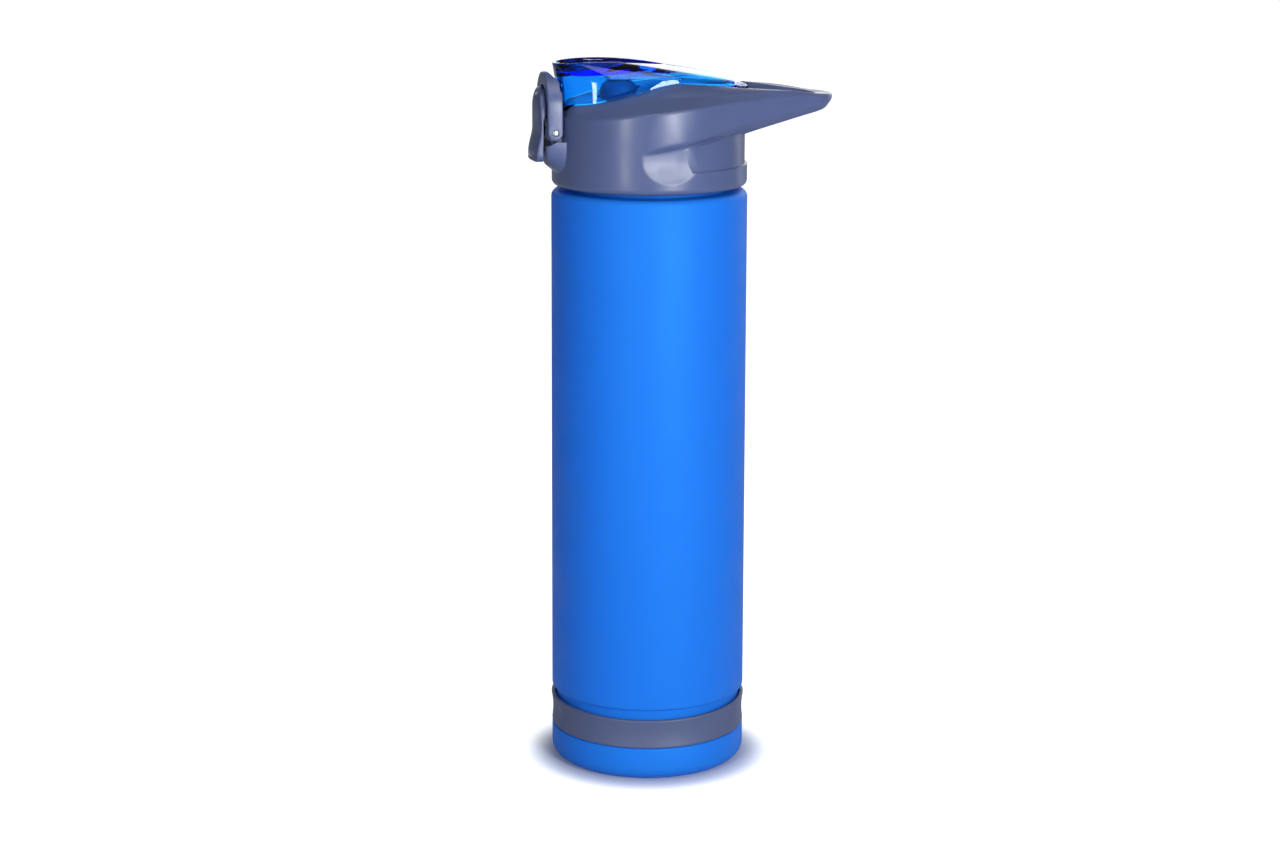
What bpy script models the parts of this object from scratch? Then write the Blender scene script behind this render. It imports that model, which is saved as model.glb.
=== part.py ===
"""Sports bottle with a screw cap, a flip cover held by a front paddle, and a rear carry loop.

Metres, +Z up. The origin is the centre of the base. The paddle faces -Y and the carry loop points to +Y.
"""

import math

import bmesh
import bpy
from mathutils import Vector

# Clearances and meshing

GAP = 0.0003
PIN_PLAY = 0.0001
SIDE_PLAY = 0.0005
OVERRUN = 0.002
ROUND_STEPS = 44
SMALL_STEPS = 24
SHARP_ANGLE = math.radians(32.0)
DECIMALS = 8

# Bottle

BODY_RADIUS = 0.035
BODY_DRAFT_SHARE = 0.012
BODY_WALL = 0.0022
SHOULDER_HEIGHT = 0.2097
SHOULDER_FILLET = 0.0026
BASE_WALL = 0.0032
BASE_FILLET = 0.0045
BASE_RING_INSET = 0.0115
BASE_RING_WIDTH = 0.0018
BASE_RING_DEPTH = 0.0006
NECK_WALL = 0.0024
NECK_HEIGHT = 0.020
NECK_EDGE = 0.0006

# Grip band and its groove

GROOVE_LOW = 0.0122
GROOVE_DEPTH = 0.0016
GROOVE_EDGE = 0.0007
GROOVE_REVEAL = 0.0028
BAND_HEIGHT = 0.0112
BAND_TOP_STAND = 0.00035
BAND_FOOT_STAND = 0.0001
BAND_WAIST = 0.0005
BAND_EDGE = 0.0004

# Cap shell: collar, rim line and deck

COLLAR_STEP = 0.0004
COLLAR_LIFT = 0.0017
COLLAR_WALL = 0.0026
COLLAR_EDGE = 0.0018
COLLAR_EDGE_SHARES = (("edge0", 1.0, 0.0), ("edge1", 0.3, 0.3), ("edge2", 0.0, 1.0))
FRONT_DECK_WALL = 0.00126
RIM_CREST_BEHIND = 0.0013
RIM_ARC = 0.526
RIM_EDGE = 0.0009
DECK_WALL = 0.0026
FOOT_RISE = 0.0010
FOOT_CLIMB_SHARE = 0.04
FOOT_FALL_BEHIND = 0.0034
FOOT_FALL_ARC = 0.067
FOOT_INSET_SIDE = 0.0096
FOOT_INSET_REAR = 0.0060
FOOT_INSET_MOST_SHARE = 0.75
FOOT_REAR_TURN_SHARE = 0.7
SLOPE_RISE_SHARE = 0.56
SEAT_MARGIN = 0.0005
DECK_RING_SHARES = (0.15, 0.45, 0.75)
CAVITY_RING_SHARES = (1.0, 1.0, 0.74, 0.5)

# Seat line of the cover on the deck: low nose, ramp, crest, fall to the rear

SEAT_DROP = 0.0023
SEAT_HUMP = 0.0058
SEAT_RAMP_START = 0.0080
SEAT_RAMP_SHARE = 0.26
SEAT_CREST_BEHIND = 0.0358
SEAT_FALL_SHARE = 0.10
SEAT_NOSE = 0.0035
SEAT_NOSE_SHARE = 1.0
SEAT_BLEND = 0.0009

# Carry loop

LOOP_TIP_RADIUS = 0.012
LOOP_REACH = 0.0194
LOOP_DEPTH = 0.0160
LOOP_LOW_SHARE = 0.165
LOOP_CHAMFER_HEIGHT = 0.0030
LOOP_CHAMFER_INSET = 0.0022
FINGER_TIP_RADIUS = 0.0075
FINGER_TIP_AHEAD = 0.0015
FINGER_HALF_WIDTH = 0.0155
FINGER_WALL_GAP = 0.0010
FINGER_CORNER = 0.0018
REAR_WALL_DROP = 0.0008

# Recess under the loop and the two finger scoops

RECESS_RISE = 0.0076
RECESS_DEPTH = 0.0009
RECESS_ANGLE_LOW = math.radians(14.5)
RECESS_ANGLE_HIGH = math.radians(7.5)
SCOOP_Y = 0.0015
SCOOP_RISE = 0.0108
SCOOP_HALF_LENGTH = 0.0125
SCOOP_HALF_HEIGHT = 0.0085
SCOOP_DEPTH = 0.0015
SCOOP_THICKNESS = 0.0050

# Front pin and boss

PIN_STAND = 0.00115
PIN_DROP = 0.0028
FRONT_PIN_RADIUS = 0.00105
BOSS_NOSE = 0.00325
BOSS_SIDE_STEP = 0.0001
BOSS_DROP = 0.0109
BOSS_CORNER_POWER = 3.0
BOSS_SLOPE_SHARE = 0.82
CHEEK_RADIUS = 0.0031
POCKET_DEPTH = 0.0022

# Lock ring

RING_HALF_WIDTH = 0.0135
RING_LEG_THICKNESS = 0.0030
RING_DEPTH = 0.0053
RING_DROP = 0.0036
RING_ARCH_HEIGHT = 0.00455
RING_EDGE = 0.0007
RING_EDGE_SHARE = 0.3
RING_SWING = math.radians(115.0)
RING_STOP_MARGIN = math.radians(1.0)
RING_CHAMFER_STAND = 0.00095
RING_CHAMFER_HEIGHT = 0.0031
RING_BACK_STAND = 0.0020
RING_BACK_HEIGHT = 0.0060

# Paddle, its lug and its hook

PADDLE_NOSE = 0.00365
PADDLE_SIDE_WALL = 0.00075
PADDLE_LIP = 0.0015
PADDLE_LIP_RISE = 0.0008
PADDLE_LIP_DROP = 0.0082
PADDLE_LEAN_RISE = 0.0078
PADDLE_LEAN_ARC = 0.0150
PADDLE_BACK_STEP = 0.0010
PADDLE_TOP_GAP = 0.00065
PADDLE_DROP = 0.0104
PADDLE_CORNER = 0.0022
PADDLE_SINK = 0.0006
PADDLE_SIDE_SHARES = (0.0, 0.35, 0.7, 1.0)
PADDLE_BACK_SHARES = (0.5, 0.97)
PADDLE_EDGE_SHARES = (0.25, 0.7)
PADDLE_FACE_SHARES = (0.97, 0.90, 0.86, 0.82, 0.5)
PAD_GROOVE_SHARE = 0.86
PAD_GROOVE_DEPTH = 0.0005
LUG_RADIUS = 0.0022
LUG_HALF_WIDTH = 0.0039
LUG_NARROW_X = 0.0012
HOOK_HEIGHT = 0.0018
HOOK_HALF_WIDTH = 0.0036

# Flip cover

COVER_HALF_WIDTH = 0.0196
COVER_FRONT_GAP = 0.00295
COVER_FRONT_POWER = 2.6
COVER_REAR_POWER = 2.0
COVER_WALL = 0.0018
COVER_RISE = 0.0065
COVER_RISE_POWER = 2.44
COVER_REAR_RISE_POWER = 1.8
COVER_REAR_START_SHARE = 0.3
COVER_FOOT_CLIMB = 0.004
COVER_STEPS = 52
COVER_LIFT = 0.0004
COVER_OUTER_SHARES = (0.0, 0.16, 0.34, 0.52, 0.7, 0.87)
COVER_INNER_SHARES = (0.72, 0.46, 0.22)
STEP_SHARE = 0.01
TOP_HALF_WIDTH = 0.0113
TOP_OVERHANG = 0.0018
TOP_FRONT_LENGTH = 0.0196
TOP_REAR_LENGTH = 0.0210
TOP_CREST_AHEAD = 0.0040
TOP_FRONT_POWER = 2.5
TOP_REAR_POWER = 1.6
TOP_ARC = 0.160
TOP_LIP = 0.0008
TOP_LIP_SHARES = ((0.2, 0.0), (0.8, -0.15), (1.5, 0.1))
DISH_LIFT = 0.0010
DISH_INSET = 0.0036
DISH_FLOOR_WALL = 0.0016
DISH_FLOOR_SAG = 0.0003
DISH_POWER = 1.5
DISH_SHARES = (0.45, 1.0)
DISH_FLOOR_SHARE = 0.5
UNDERSIDE_SHARES = (0.4, 0.97)
TOOTH_RISE_SHARE = 0.3
TOOTH_HALF_WIDTH = 0.0036
TOOTH_RISE = 0.0036
TOOTH_HEIGHT = 0.0022
TOOTH_REACH = 0.0008

# Cover hinge

HINGE_INSET = 0.0046
HINGE_DROP = 0.0016
HINGE_PIN_RADIUS = 0.0010
HINGE_LUG_HALF_WIDTH = 0.0046
HINGE_LUG_STEP = 0.0004
KNUCKLE_RADIUS = 0.0035
KNUCKLE_LENGTH = 0.0061
KNUCKLE_THIN = 0.0018
NOTCH_PLAY = 0.0012
TROUGH_SIDE_PLAY = 0.0018
TROUGH_FRONT_PLAY = 0.0009
TROUGH_PLAY = 0.0007
TROUGH_FLOOR = 0.0029
CAVITY_DROP_AHEAD = 0.0041
CAVITY_DROP_SHARE = 1.6

# Spout, liner, gasket and stopper

SPOUT_BEHIND = 0.0040
SPOUT_BORE = 0.0029
SPOUT_LIP_WALL = 0.0011
SPOUT_NECK_RADIUS = 0.0062
SPOUT_BASE_RADIUS = 0.0072
SPOUT_BASE_RISE = 0.0060
SPOUT_LIP_HEIGHT = 0.0017
SPOUT_LIP_SHARES = (0.6, 0.33)
SPOUT_NECK_SHARES = (0.25, 2.0)
SPOUT_PLUG_WALL = 0.0014
GASKET_HEIGHT = 0.0016
GASKET_MARGIN = 0.0004
GASKET_EDGE_SHARE = 0.25
LINER_WALL = 0.0018
LINER_DISC = 0.0021
LINER_SKIRT_CLEAR = 0.0048
THREAD_DEPTH = 0.0014
CHIMNEY_WALL = 0.0016
STOPPER_FLANGE_RADIUS = 0.0046
STOPPER_FLANGE = 0.0008
STOPPER_REACH = 0.0020
STOPPER_TAPER = 0.0004

# Pins and springs

PIN_EDGE_SHARE = 0.25
COIL_PLAY = 0.0004
HINGE_WIRE = 0.00035
HINGE_COIL_TURNS = 2
HINGE_LEG = 0.0038
HINGE_LEG_TURNS = (math.radians(-90.0), math.radians(80.0))
BUTTON_WIRE = 0.0002
BUTTON_COIL_TURNS = 2
BUTTON_LEG = 0.0030
BUTTON_SHORT_LEG = 0.0012
BUTTON_LEG_TURNS = (math.radians(-90.0), math.radians(-90.0))
COIL_STEPS = 12
WIRE_SIDES = 6

# Radii and places in plan that follow from the body's radius

BASE_RING_RADIUS = BODY_RADIUS - BASE_RING_INSET
COLLAR_RADIUS = BODY_RADIUS - COLLAR_STEP
CAVITY_RADIUS = COLLAR_RADIUS - COLLAR_WALL
LINER_RADIUS = CAVITY_RADIUS - GAP
LINER_INNER_RADIUS = LINER_RADIUS - LINER_WALL
NECK_RADIUS = LINER_INNER_RADIUS - GAP - THREAD_DEPTH
LOOP_TIP_CENTRE_Y = COLLAR_RADIUS + LOOP_REACH
FINGER_TIP_CENTRE_Y = LOOP_TIP_CENTRE_Y - FINGER_TIP_AHEAD
TANGENT_ANGLE = math.asin((COLLAR_RADIUS - LOOP_TIP_RADIUS) / LOOP_TIP_CENTRE_Y)
RIM_TOP_Y = LOOP_TIP_CENTRE_Y + RIM_CREST_BEHIND
FOOT_FALL_Y = COLLAR_RADIUS + FOOT_FALL_BEHIND
HINGE_Y = COLLAR_RADIUS - HINGE_INSET
TROUGH_FRONT_Y = HINGE_Y - KNUCKLE_RADIUS - TROUGH_FRONT_PLAY
CAVITY_DROP_Y = TROUGH_FRONT_Y - CAVITY_DROP_AHEAD
PIN_Y = -COLLAR_RADIUS - PIN_STAND
BOSS_FRONT_Y = PIN_Y - BOSS_NOSE
COVER_FRONT_Y = PIN_Y + COVER_FRONT_GAP
COVER_REAR_Y = HINGE_Y + KNUCKLE_RADIUS
COVER_CENTRE_Y = (COVER_FRONT_Y + COVER_REAR_Y) / 2
COVER_HALF_LENGTH = (COVER_REAR_Y - COVER_FRONT_Y) / 2
SEAT_RAMP_Y = COVER_FRONT_Y + SEAT_RAMP_START
SEAT_TOP_Y = COVER_FRONT_Y + SEAT_CREST_BEHIND
SEAT_FRONT_Y = COVER_FRONT_Y + SEAT_NOSE
TOP_FRONT_Y = COVER_FRONT_Y - TOP_OVERHANG
TOP_CENTRE_Y = TOP_FRONT_Y + TOP_FRONT_LENGTH
TOP_CREST_Y = TOP_CENTRE_Y - TOP_CREST_AHEAD
SPOUT_Y = TOP_CENTRE_Y + SPOUT_BEHIND

# Heights that follow from the shoulder's, up through the cap

GROOVE_HIGH = GROOVE_LOW + GAP + BAND_HEIGHT + GROOVE_REVEAL
NECK_TOP = SHOULDER_HEIGHT + NECK_HEIGHT
COLLAR_BOTTOM = SHOULDER_HEIGHT + COLLAR_LIFT
RECESS_LOW = COLLAR_BOTTOM + RECESS_RISE
SCOOP_Z = COLLAR_BOTTOM + SCOOP_RISE
GASKET_LOW = NECK_TOP + GAP
LINER_DISC_LOW = GASKET_LOW + GASKET_HEIGHT + GAP
LINER_TOP = LINER_DISC_LOW + LINER_DISC
RIM_TOP = LINER_TOP + GAP + FRONT_DECK_WALL + (CAVITY_RADIUS + RIM_TOP_Y) ** 2 / (2 * RIM_ARC)
FOOT_HEIGHT = RIM_TOP + FOOT_RISE
REAR_WALL_TOP = RIM_TOP - REAR_WALL_DROP
LOOP_LOW_Z = RIM_TOP - LOOP_DEPTH
SEAT_LOW = RIM_TOP - SEAT_DROP
SEAT_TOP = RIM_TOP + SEAT_HUMP
HINGE_Z = SEAT_TOP - SEAT_FALL_SHARE * (HINGE_Y - SEAT_TOP_Y) - HINGE_DROP
TOP_HEIGHT = SEAT_TOP + COVER_RISE
DISH_UNDERSIDE = SEAT_TOP + DISH_LIFT
DISH_FLOOR = DISH_UNDERSIDE + DISH_FLOOR_WALL
TOOTH_LOW = SEAT_LOW - SEAT_NOSE_SHARE * SEAT_NOSE + TOOTH_RISE
SPOUT_BASE_Z = LINER_TOP + SPOUT_BASE_RISE
SPOUT_TOP = DISH_UNDERSIDE - GAP - STOPPER_FLANGE - GAP
PIN_Z = LINER_TOP - PIN_DROP
BOSS_BOTTOM = PIN_Z - BOSS_DROP
RING_TOP = TOP_HEIGHT - RING_DROP

# Mating sizes of the front parts, the hinge and the spout

RING_BACK_Y = PIN_Y + RING_DEPTH / 2
RING_FRONT_Y = PIN_Y - RING_DEPTH / 2
RING_INNER_HALF_WIDTH = RING_HALF_WIDTH - RING_LEG_THICKNESS
BOSS_HALF_WIDTH = RING_HALF_WIDTH - BOSS_SIDE_STEP
BOSS_SHOULDER_ANGLE = RING_SWING - math.radians(90.0) + RING_STOP_MARGIN
CHEEK_INNER = LUG_HALF_WIDTH + SIDE_PLAY
CHEEK_OUTER = RING_INNER_HALF_WIDTH - SIDE_PLAY
PADDLE_HALF_WIDTH = RING_INNER_HALF_WIDTH - SIDE_PLAY
POCKET_HALF_WIDTH = PADDLE_HALF_WIDTH + SIDE_PLAY
PADDLE_BACK_Y = PIN_Y - PADDLE_NOSE
PADDLE_FACE = math.hypot(PADDLE_SIDE_WALL - PADDLE_BACK_Y, PADDLE_HALF_WIDTH)
PADDLE_LIP_HIGH = PIN_Z + PADDLE_LIP_RISE
PADDLE_LIP_LOW = PIN_Z - PADDLE_LIP_DROP
PADDLE_LEAN_Z = PIN_Z + PADDLE_LEAN_RISE
PADDLE_TOP = RING_TOP - RING_ARCH_HEIGHT - PADDLE_TOP_GAP
PADDLE_BOTTOM = PIN_Z - PADDLE_DROP
HOOK_LOW = TOOTH_LOW + TOOTH_HEIGHT + GAP
HINGE_LUG_RADIUS = KNUCKLE_RADIUS - HINGE_LUG_STEP
KNUCKLE_INNER = HINGE_LUG_HALF_WIDTH + GAP
KNUCKLE_OUTER = KNUCKLE_INNER + KNUCKLE_LENGTH
NOTCH_RADIUS = HINGE_LUG_RADIUS + NOTCH_PLAY
TROUGH_HALF_WIDTH = KNUCKLE_OUTER + TROUGH_SIDE_PLAY
TROUGH_REACH = KNUCKLE_RADIUS + TROUGH_PLAY
CAVITY_LOW = HINGE_Z - TROUGH_REACH - TROUGH_FLOOR
HINGE_COIL_RADIUS = HINGE_PIN_RADIUS + COIL_PLAY + HINGE_WIRE
BUTTON_COIL_RADIUS = FRONT_PIN_RADIUS + COIL_PLAY + BUTTON_WIRE
CHIMNEY_TOP = SPOUT_BASE_Z - GAP
SPOUT_LIP_RADIUS = SPOUT_BORE + SPOUT_LIP_WALL
SPOUT_PLUG_RADIUS = SPOUT_BORE + SPOUT_PLUG_WALL
CHIMNEY_BORE = SPOUT_PLUG_RADIUS + GAP
CHIMNEY_RADIUS = CHIMNEY_BORE + CHIMNEY_WALL
DECK_HOLE_RADIUS = max(SPOUT_BASE_RADIUS, CHIMNEY_RADIUS) + GAP


# Building tools


def clear_scene():
    for obj in list(bpy.data.objects):
        bpy.data.objects.remove(obj, do_unlink=True)


def material(name, colour, roughness, metallic=0.0, transmission=0.0):
    made = bpy.data.materials.new(name)
    made.use_nodes = True
    shader = made.node_tree.nodes["Principled BSDF"]
    shader.inputs["Base Color"].default_value = (*colour, 1.0)
    shader.inputs["Roughness"].default_value = roughness
    shader.inputs["Metallic"].default_value = metallic
    shader.inputs["Transmission Weight"].default_value = transmission
    made.diffuse_color = (*colour, 1.0)
    return made


def solid(name, points, faces, finish):
    """A closed mesh with its faces turned outwards, shaded smooth between sharp edges."""
    mesh = bpy.data.meshes.new(name)
    mesh.from_pydata([[round(value, DECIMALS) for value in point] for point in points], [], faces)
    work = bmesh.new()
    work.from_mesh(mesh)
    bmesh.ops.recalc_face_normals(work, faces=work.faces)
    if work.calc_volume(signed=True) < 0:
        bmesh.ops.reverse_faces(work, faces=work.faces)
    work.to_mesh(mesh)
    work.free()
    mesh.shade_smooth()
    mesh.set_sharp_from_angle(angle=SHARP_ANGLE)
    mesh.materials.append(finish)
    obj = bpy.data.objects.new(name, mesh)
    bpy.context.collection.objects.link(obj)
    return obj


def loft(name, rings, finish, closed=False):
    """Skin over rings of equal length. A ring of one point is a pole, and two poles in a row part two skins.

    closed joins the last ring to the first.
    """
    points = []
    starts = []
    for ring in rings:
        starts.append(len(points))
        points.extend(ring)
    faces = []
    pairs = list(zip(range(len(rings) - 1), range(1, len(rings))))
    if closed:
        pairs.append((len(rings) - 1, 0))
    for low, high in pairs:
        count = max(len(rings[low]), len(rings[high]))
        if count == 1:
            continue
        for i in range(count):
            j = (i + 1) % count
            face = [starts[low] + i, starts[low] + j] if len(rings[low]) > 1 else [starts[low]]
            face += [starts[high] + j, starts[high] + i] if len(rings[high]) > 1 else [starts[high]]
            faces.append(face)
    if not closed:
        for end in (0, len(rings) - 1):
            if len(rings[end]) > 1:
                faces.append([starts[end] + i for i in range(len(rings[end]))])
    return solid(name, points, faces, finish)


def turned(name, outline, finish, centre=(0.0, 0.0), steps=ROUND_STEPS, closed=False, along_x=False):
    """A turned solid from (radius, height) points, about +Z at centre, or about +X at centre (y, z).

    An end with several points at one height is one flat face, so its middle point is left out.
    """
    if not closed and outline[0][1] == outline[1][1]:
        outline = outline[1:]
    if not closed and outline[-1][1] == outline[-2][1]:
        outline = outline[:-1]
    rings = []
    for radius, height in outline:
        count = steps if radius > 0 else 1
        ring = []
        for i in range(count):
            turn = 2 * math.pi * (i + 0.5) / steps
            first = centre[0] + radius * math.cos(turn)
            second = centre[1] + radius * math.sin(turn)
            ring.append((height, first, second) if along_x else (first, second, height))
        rings.append(ring)
    return loft(name, rings, finish, closed)


def arc(centre, radius, start, end, steps):
    """Points on an arc, both ends included; angles in degrees."""
    found = []
    for i in range(steps + 1):
        turn = math.radians(start + (end - start) * i / steps)
        found.append((centre[0] + radius * math.cos(turn), centre[1] + radius * math.sin(turn)))
    return found


def prism(name, outline, low, high, finish, axis="Z"):
    """A flat outline pushed from low to high along an axis. The outline is (x, y), (y, z) or (x, z)."""
    place = {
        "Z": lambda a, b, depth: (a, b, depth),
        "X": lambda a, b, depth: (depth, a, b),
        "Y": lambda a, b, depth: (a, depth, b),
    }[axis]
    rings = [[place(a, b, depth) for a, b in outline] for depth in (low, high)]
    return loft(name, rings, finish)


def box(name, low, high, finish):
    outline = [(low[0], low[1]), (high[0], low[1]), (high[0], high[1]), (low[0], high[1])]
    return prism(name, outline, low[2], high[2], finish)


def tool_of(obj):
    obj.hide_render = True
    obj.display_type = "WIRE"
    return obj


def combine(target, other, operation):
    modifier = target.modifiers.new(operation.title() + " " + other.name, "BOOLEAN")
    modifier.operation = operation
    modifier.solver = "EXACT"
    modifier.object = tool_of(other)


def cut(target, *cutters):
    for cutter in cutters:
        combine(target, cutter, "DIFFERENCE")


def join(target, *others):
    for other in others:
        combine(target, other, "UNION")


def set_origin(obj, point):
    """Moves the object's origin to a point on its joint's axis; the shape stays where it is."""
    shift = Vector(point)
    for vertex in obj.data.vertices:
        vertex.co -= shift
    obj.location = shift


def smooth_step(value, start, end):
    share = min(1.0, max(0.0, (value - start) / (end - start)))
    return share * share * (3.0 - 2.0 * share)


def soft_min(a, b, blend):
    return (a + b - math.hypot(a - b, blend)) / 2


def soft_max(a, b, blend):
    return (a + b + math.hypot(a - b, blend)) / 2


def between(a, b, share):
    return a + (b - a) * share


# Bottle


def body_radius(height):
    return BODY_RADIUS * (1.0 + BODY_DRAFT_SHARE * (0.5 - height / SHOULDER_HEIGHT))


def bottle_outline():
    base = body_radius(0)
    low_edge = body_radius(GROOVE_LOW)
    high_edge = body_radius(GROOVE_HIGH)
    shoulder = body_radius(SHOULDER_HEIGHT)
    neck_inner = NECK_RADIUS - NECK_WALL
    ring_in = BASE_RING_RADIUS - BASE_RING_WIDTH / 2
    ring_out = BASE_RING_RADIUS + BASE_RING_WIDTH / 2
    outer = [(0.0, 0.0), (ring_in, 0.0), (BASE_RING_RADIUS, BASE_RING_DEPTH), (ring_out, 0.0)]
    outer += arc((base - BASE_FILLET, BASE_FILLET), BASE_FILLET, -90, 0, 3)
    outer += arc((low_edge - GROOVE_EDGE, GROOVE_LOW - GROOVE_EDGE), GROOVE_EDGE, 0, 90, 1)
    outer += [(low_edge - GROOVE_DEPTH, GROOVE_LOW), (high_edge - GROOVE_DEPTH, GROOVE_HIGH)]
    outer += arc((high_edge - GROOVE_EDGE, GROOVE_HIGH + GROOVE_EDGE), GROOVE_EDGE, -90, 0, 1)
    edge = SHOULDER_FILLET
    outer += arc((shoulder - edge, SHOULDER_HEIGHT - edge), edge, 0, 90, 3)
    outer += [(NECK_RADIUS, SHOULDER_HEIGHT), (NECK_RADIUS, NECK_TOP - NECK_EDGE)]
    outer += [(NECK_RADIUS - NECK_EDGE, NECK_TOP), (neck_inner + NECK_EDGE, NECK_TOP)]
    outer += [(neck_inner, NECK_TOP - NECK_EDGE)]
    shoulder_in = SHOULDER_HEIGHT - BODY_WALL
    wall_in = shoulder - BODY_WALL
    inner = [(neck_inner, SHOULDER_HEIGHT)]
    inner += arc((wall_in - edge, shoulder_in - edge), edge, 60, 0, 1)
    inner += [(high_edge - BODY_WALL, GROOVE_HIGH + GROOVE_DEPTH)]
    inner += [(high_edge - BODY_WALL - GROOVE_DEPTH, GROOVE_HIGH)]
    inner += [(low_edge - BODY_WALL - GROOVE_DEPTH, GROOVE_LOW)]
    foot = low_edge - BODY_WALL
    inner += [(foot, GROOVE_LOW - GROOVE_DEPTH)]
    inner += arc((foot - BASE_FILLET, BASE_WALL + BASE_FILLET), BASE_FILLET, 0, -90, 1)
    inner += [(0.0, BASE_WALL)]
    return outer + inner


def make_bottle(blue):
    return turned("bottle_body", bottle_outline(), blue)


def make_band(rubber):
    low = GROOVE_LOW + GAP
    high = low + BAND_HEIGHT
    inside = body_radius(GROOVE_LOW) - GROOVE_DEPTH + GAP
    foot = body_radius(low) + BAND_FOOT_STAND
    top = body_radius(high) + BAND_TOP_STAND
    outline = [(inside, low), (foot - BAND_EDGE, low), (foot, low + BAND_EDGE)]
    steps = 3
    for i in range(1, steps):
        share = i / steps
        bow = BAND_WAIST * math.sin(math.pi * share)
        height = between(low + BAND_EDGE, high - BAND_EDGE, share)
        outline.append((between(foot, top, share) - bow, height))
    outline += [(top, high - BAND_EDGE), (top - BAND_EDGE, high), (inside, high)]
    return turned("grip_band", outline, rubber, closed=True)


# Cap shell


def rim_height(y):
    """The line where the cap's side meets its deck: a long arc whose top lies over the loop."""
    return RIM_TOP - (y - RIM_TOP_Y) ** 2 / (2 * RIM_ARC)


def seat_height(y):
    """The deck's height under the cover's edge."""
    ramp = SEAT_LOW + SEAT_RAMP_SHARE * (y - SEAT_RAMP_Y)
    rear = SEAT_TOP - SEAT_FALL_SHARE * (y - SEAT_TOP_Y)
    front = SEAT_LOW + SEAT_NOSE_SHARE * (y - SEAT_FRONT_Y)
    level = soft_min(soft_max(SEAT_LOW, ramp, SEAT_BLEND), rear, SEAT_BLEND)
    return soft_min(level, front, SEAT_BLEND)


def foot_height(y):
    """The deck's height where the hump under the cover starts, and along the loop's inner edge."""
    past = max(0.0, y - FOOT_FALL_Y)
    line = FOOT_HEIGHT + FOOT_CLIMB_SHARE * y - past ** 2 / (2 * FOOT_FALL_ARC)
    return soft_min(seat_height(min(y, HINGE_Y)) - SEAT_MARGIN, line, SEAT_BLEND)


def loop_low(y):
    return LOOP_LOW_Z + LOOP_LOW_SHARE * y


def cover_outline(turn, grow=0.0):
    """Point of the cover's base outline in the direction turn from the cover's centre."""
    power = COVER_REAR_POWER if math.sin(turn) > 0 else COVER_FRONT_POWER
    across = abs(math.cos(turn)) / (COVER_HALF_WIDTH + grow)
    along = abs(math.sin(turn)) / (COVER_HALF_LENGTH + grow)
    radius = (across ** power + along ** power) ** (-1.0 / power)
    return radius * math.cos(turn), COVER_CENTRE_Y + radius * math.sin(turn)


def collar_stations():
    """Pairs of a direction and a point of the upper plan outline: the loop's teardrop, then the circle."""
    stations = []
    circle_steps = 40
    line_steps = 5
    tip_steps = 12
    rear_steps = 2 * line_steps + tip_steps
    leave = TANGENT_ANGLE
    sweep = math.pi - 2 * leave
    tip = (0.0, LOOP_TIP_CENTRE_Y)
    start = (COLLAR_RADIUS * math.cos(leave), COLLAR_RADIUS * math.sin(leave))
    touch = (LOOP_TIP_RADIUS * math.cos(leave), tip[1] + LOOP_TIP_RADIUS * math.sin(leave))
    for i in range(rear_steps):
        turn = leave + sweep * i / rear_steps
        if i < line_steps:
            share = i / line_steps
            point = (between(start[0], touch[0], share), between(start[1], touch[1], share))
        elif i <= line_steps + tip_steps:
            bend = leave + sweep * (i - line_steps) / tip_steps
            point = (LOOP_TIP_RADIUS * math.cos(bend), tip[1] + LOOP_TIP_RADIUS * math.sin(bend))
        else:
            share = (i - line_steps - tip_steps) / line_steps
            point = (-between(touch[0], start[0], share), between(touch[1], start[1], share))
        stations.append((turn, point))
    for i in range(circle_steps):
        turn = math.pi - leave + (math.pi + 2 * leave) * i / circle_steps
        stations.append((turn, (COLLAR_RADIUS * math.cos(turn), COLLAR_RADIUS * math.sin(turn))))
    return stations


def toward(start, goal, distance):
    gap = math.hypot(goal[0] - start[0], goal[1] - start[1])
    share = min(distance / gap, FOOT_INSET_MOST_SHARE)
    return between(start[0], goal[0], share), between(start[1], goal[1], share)


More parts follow.
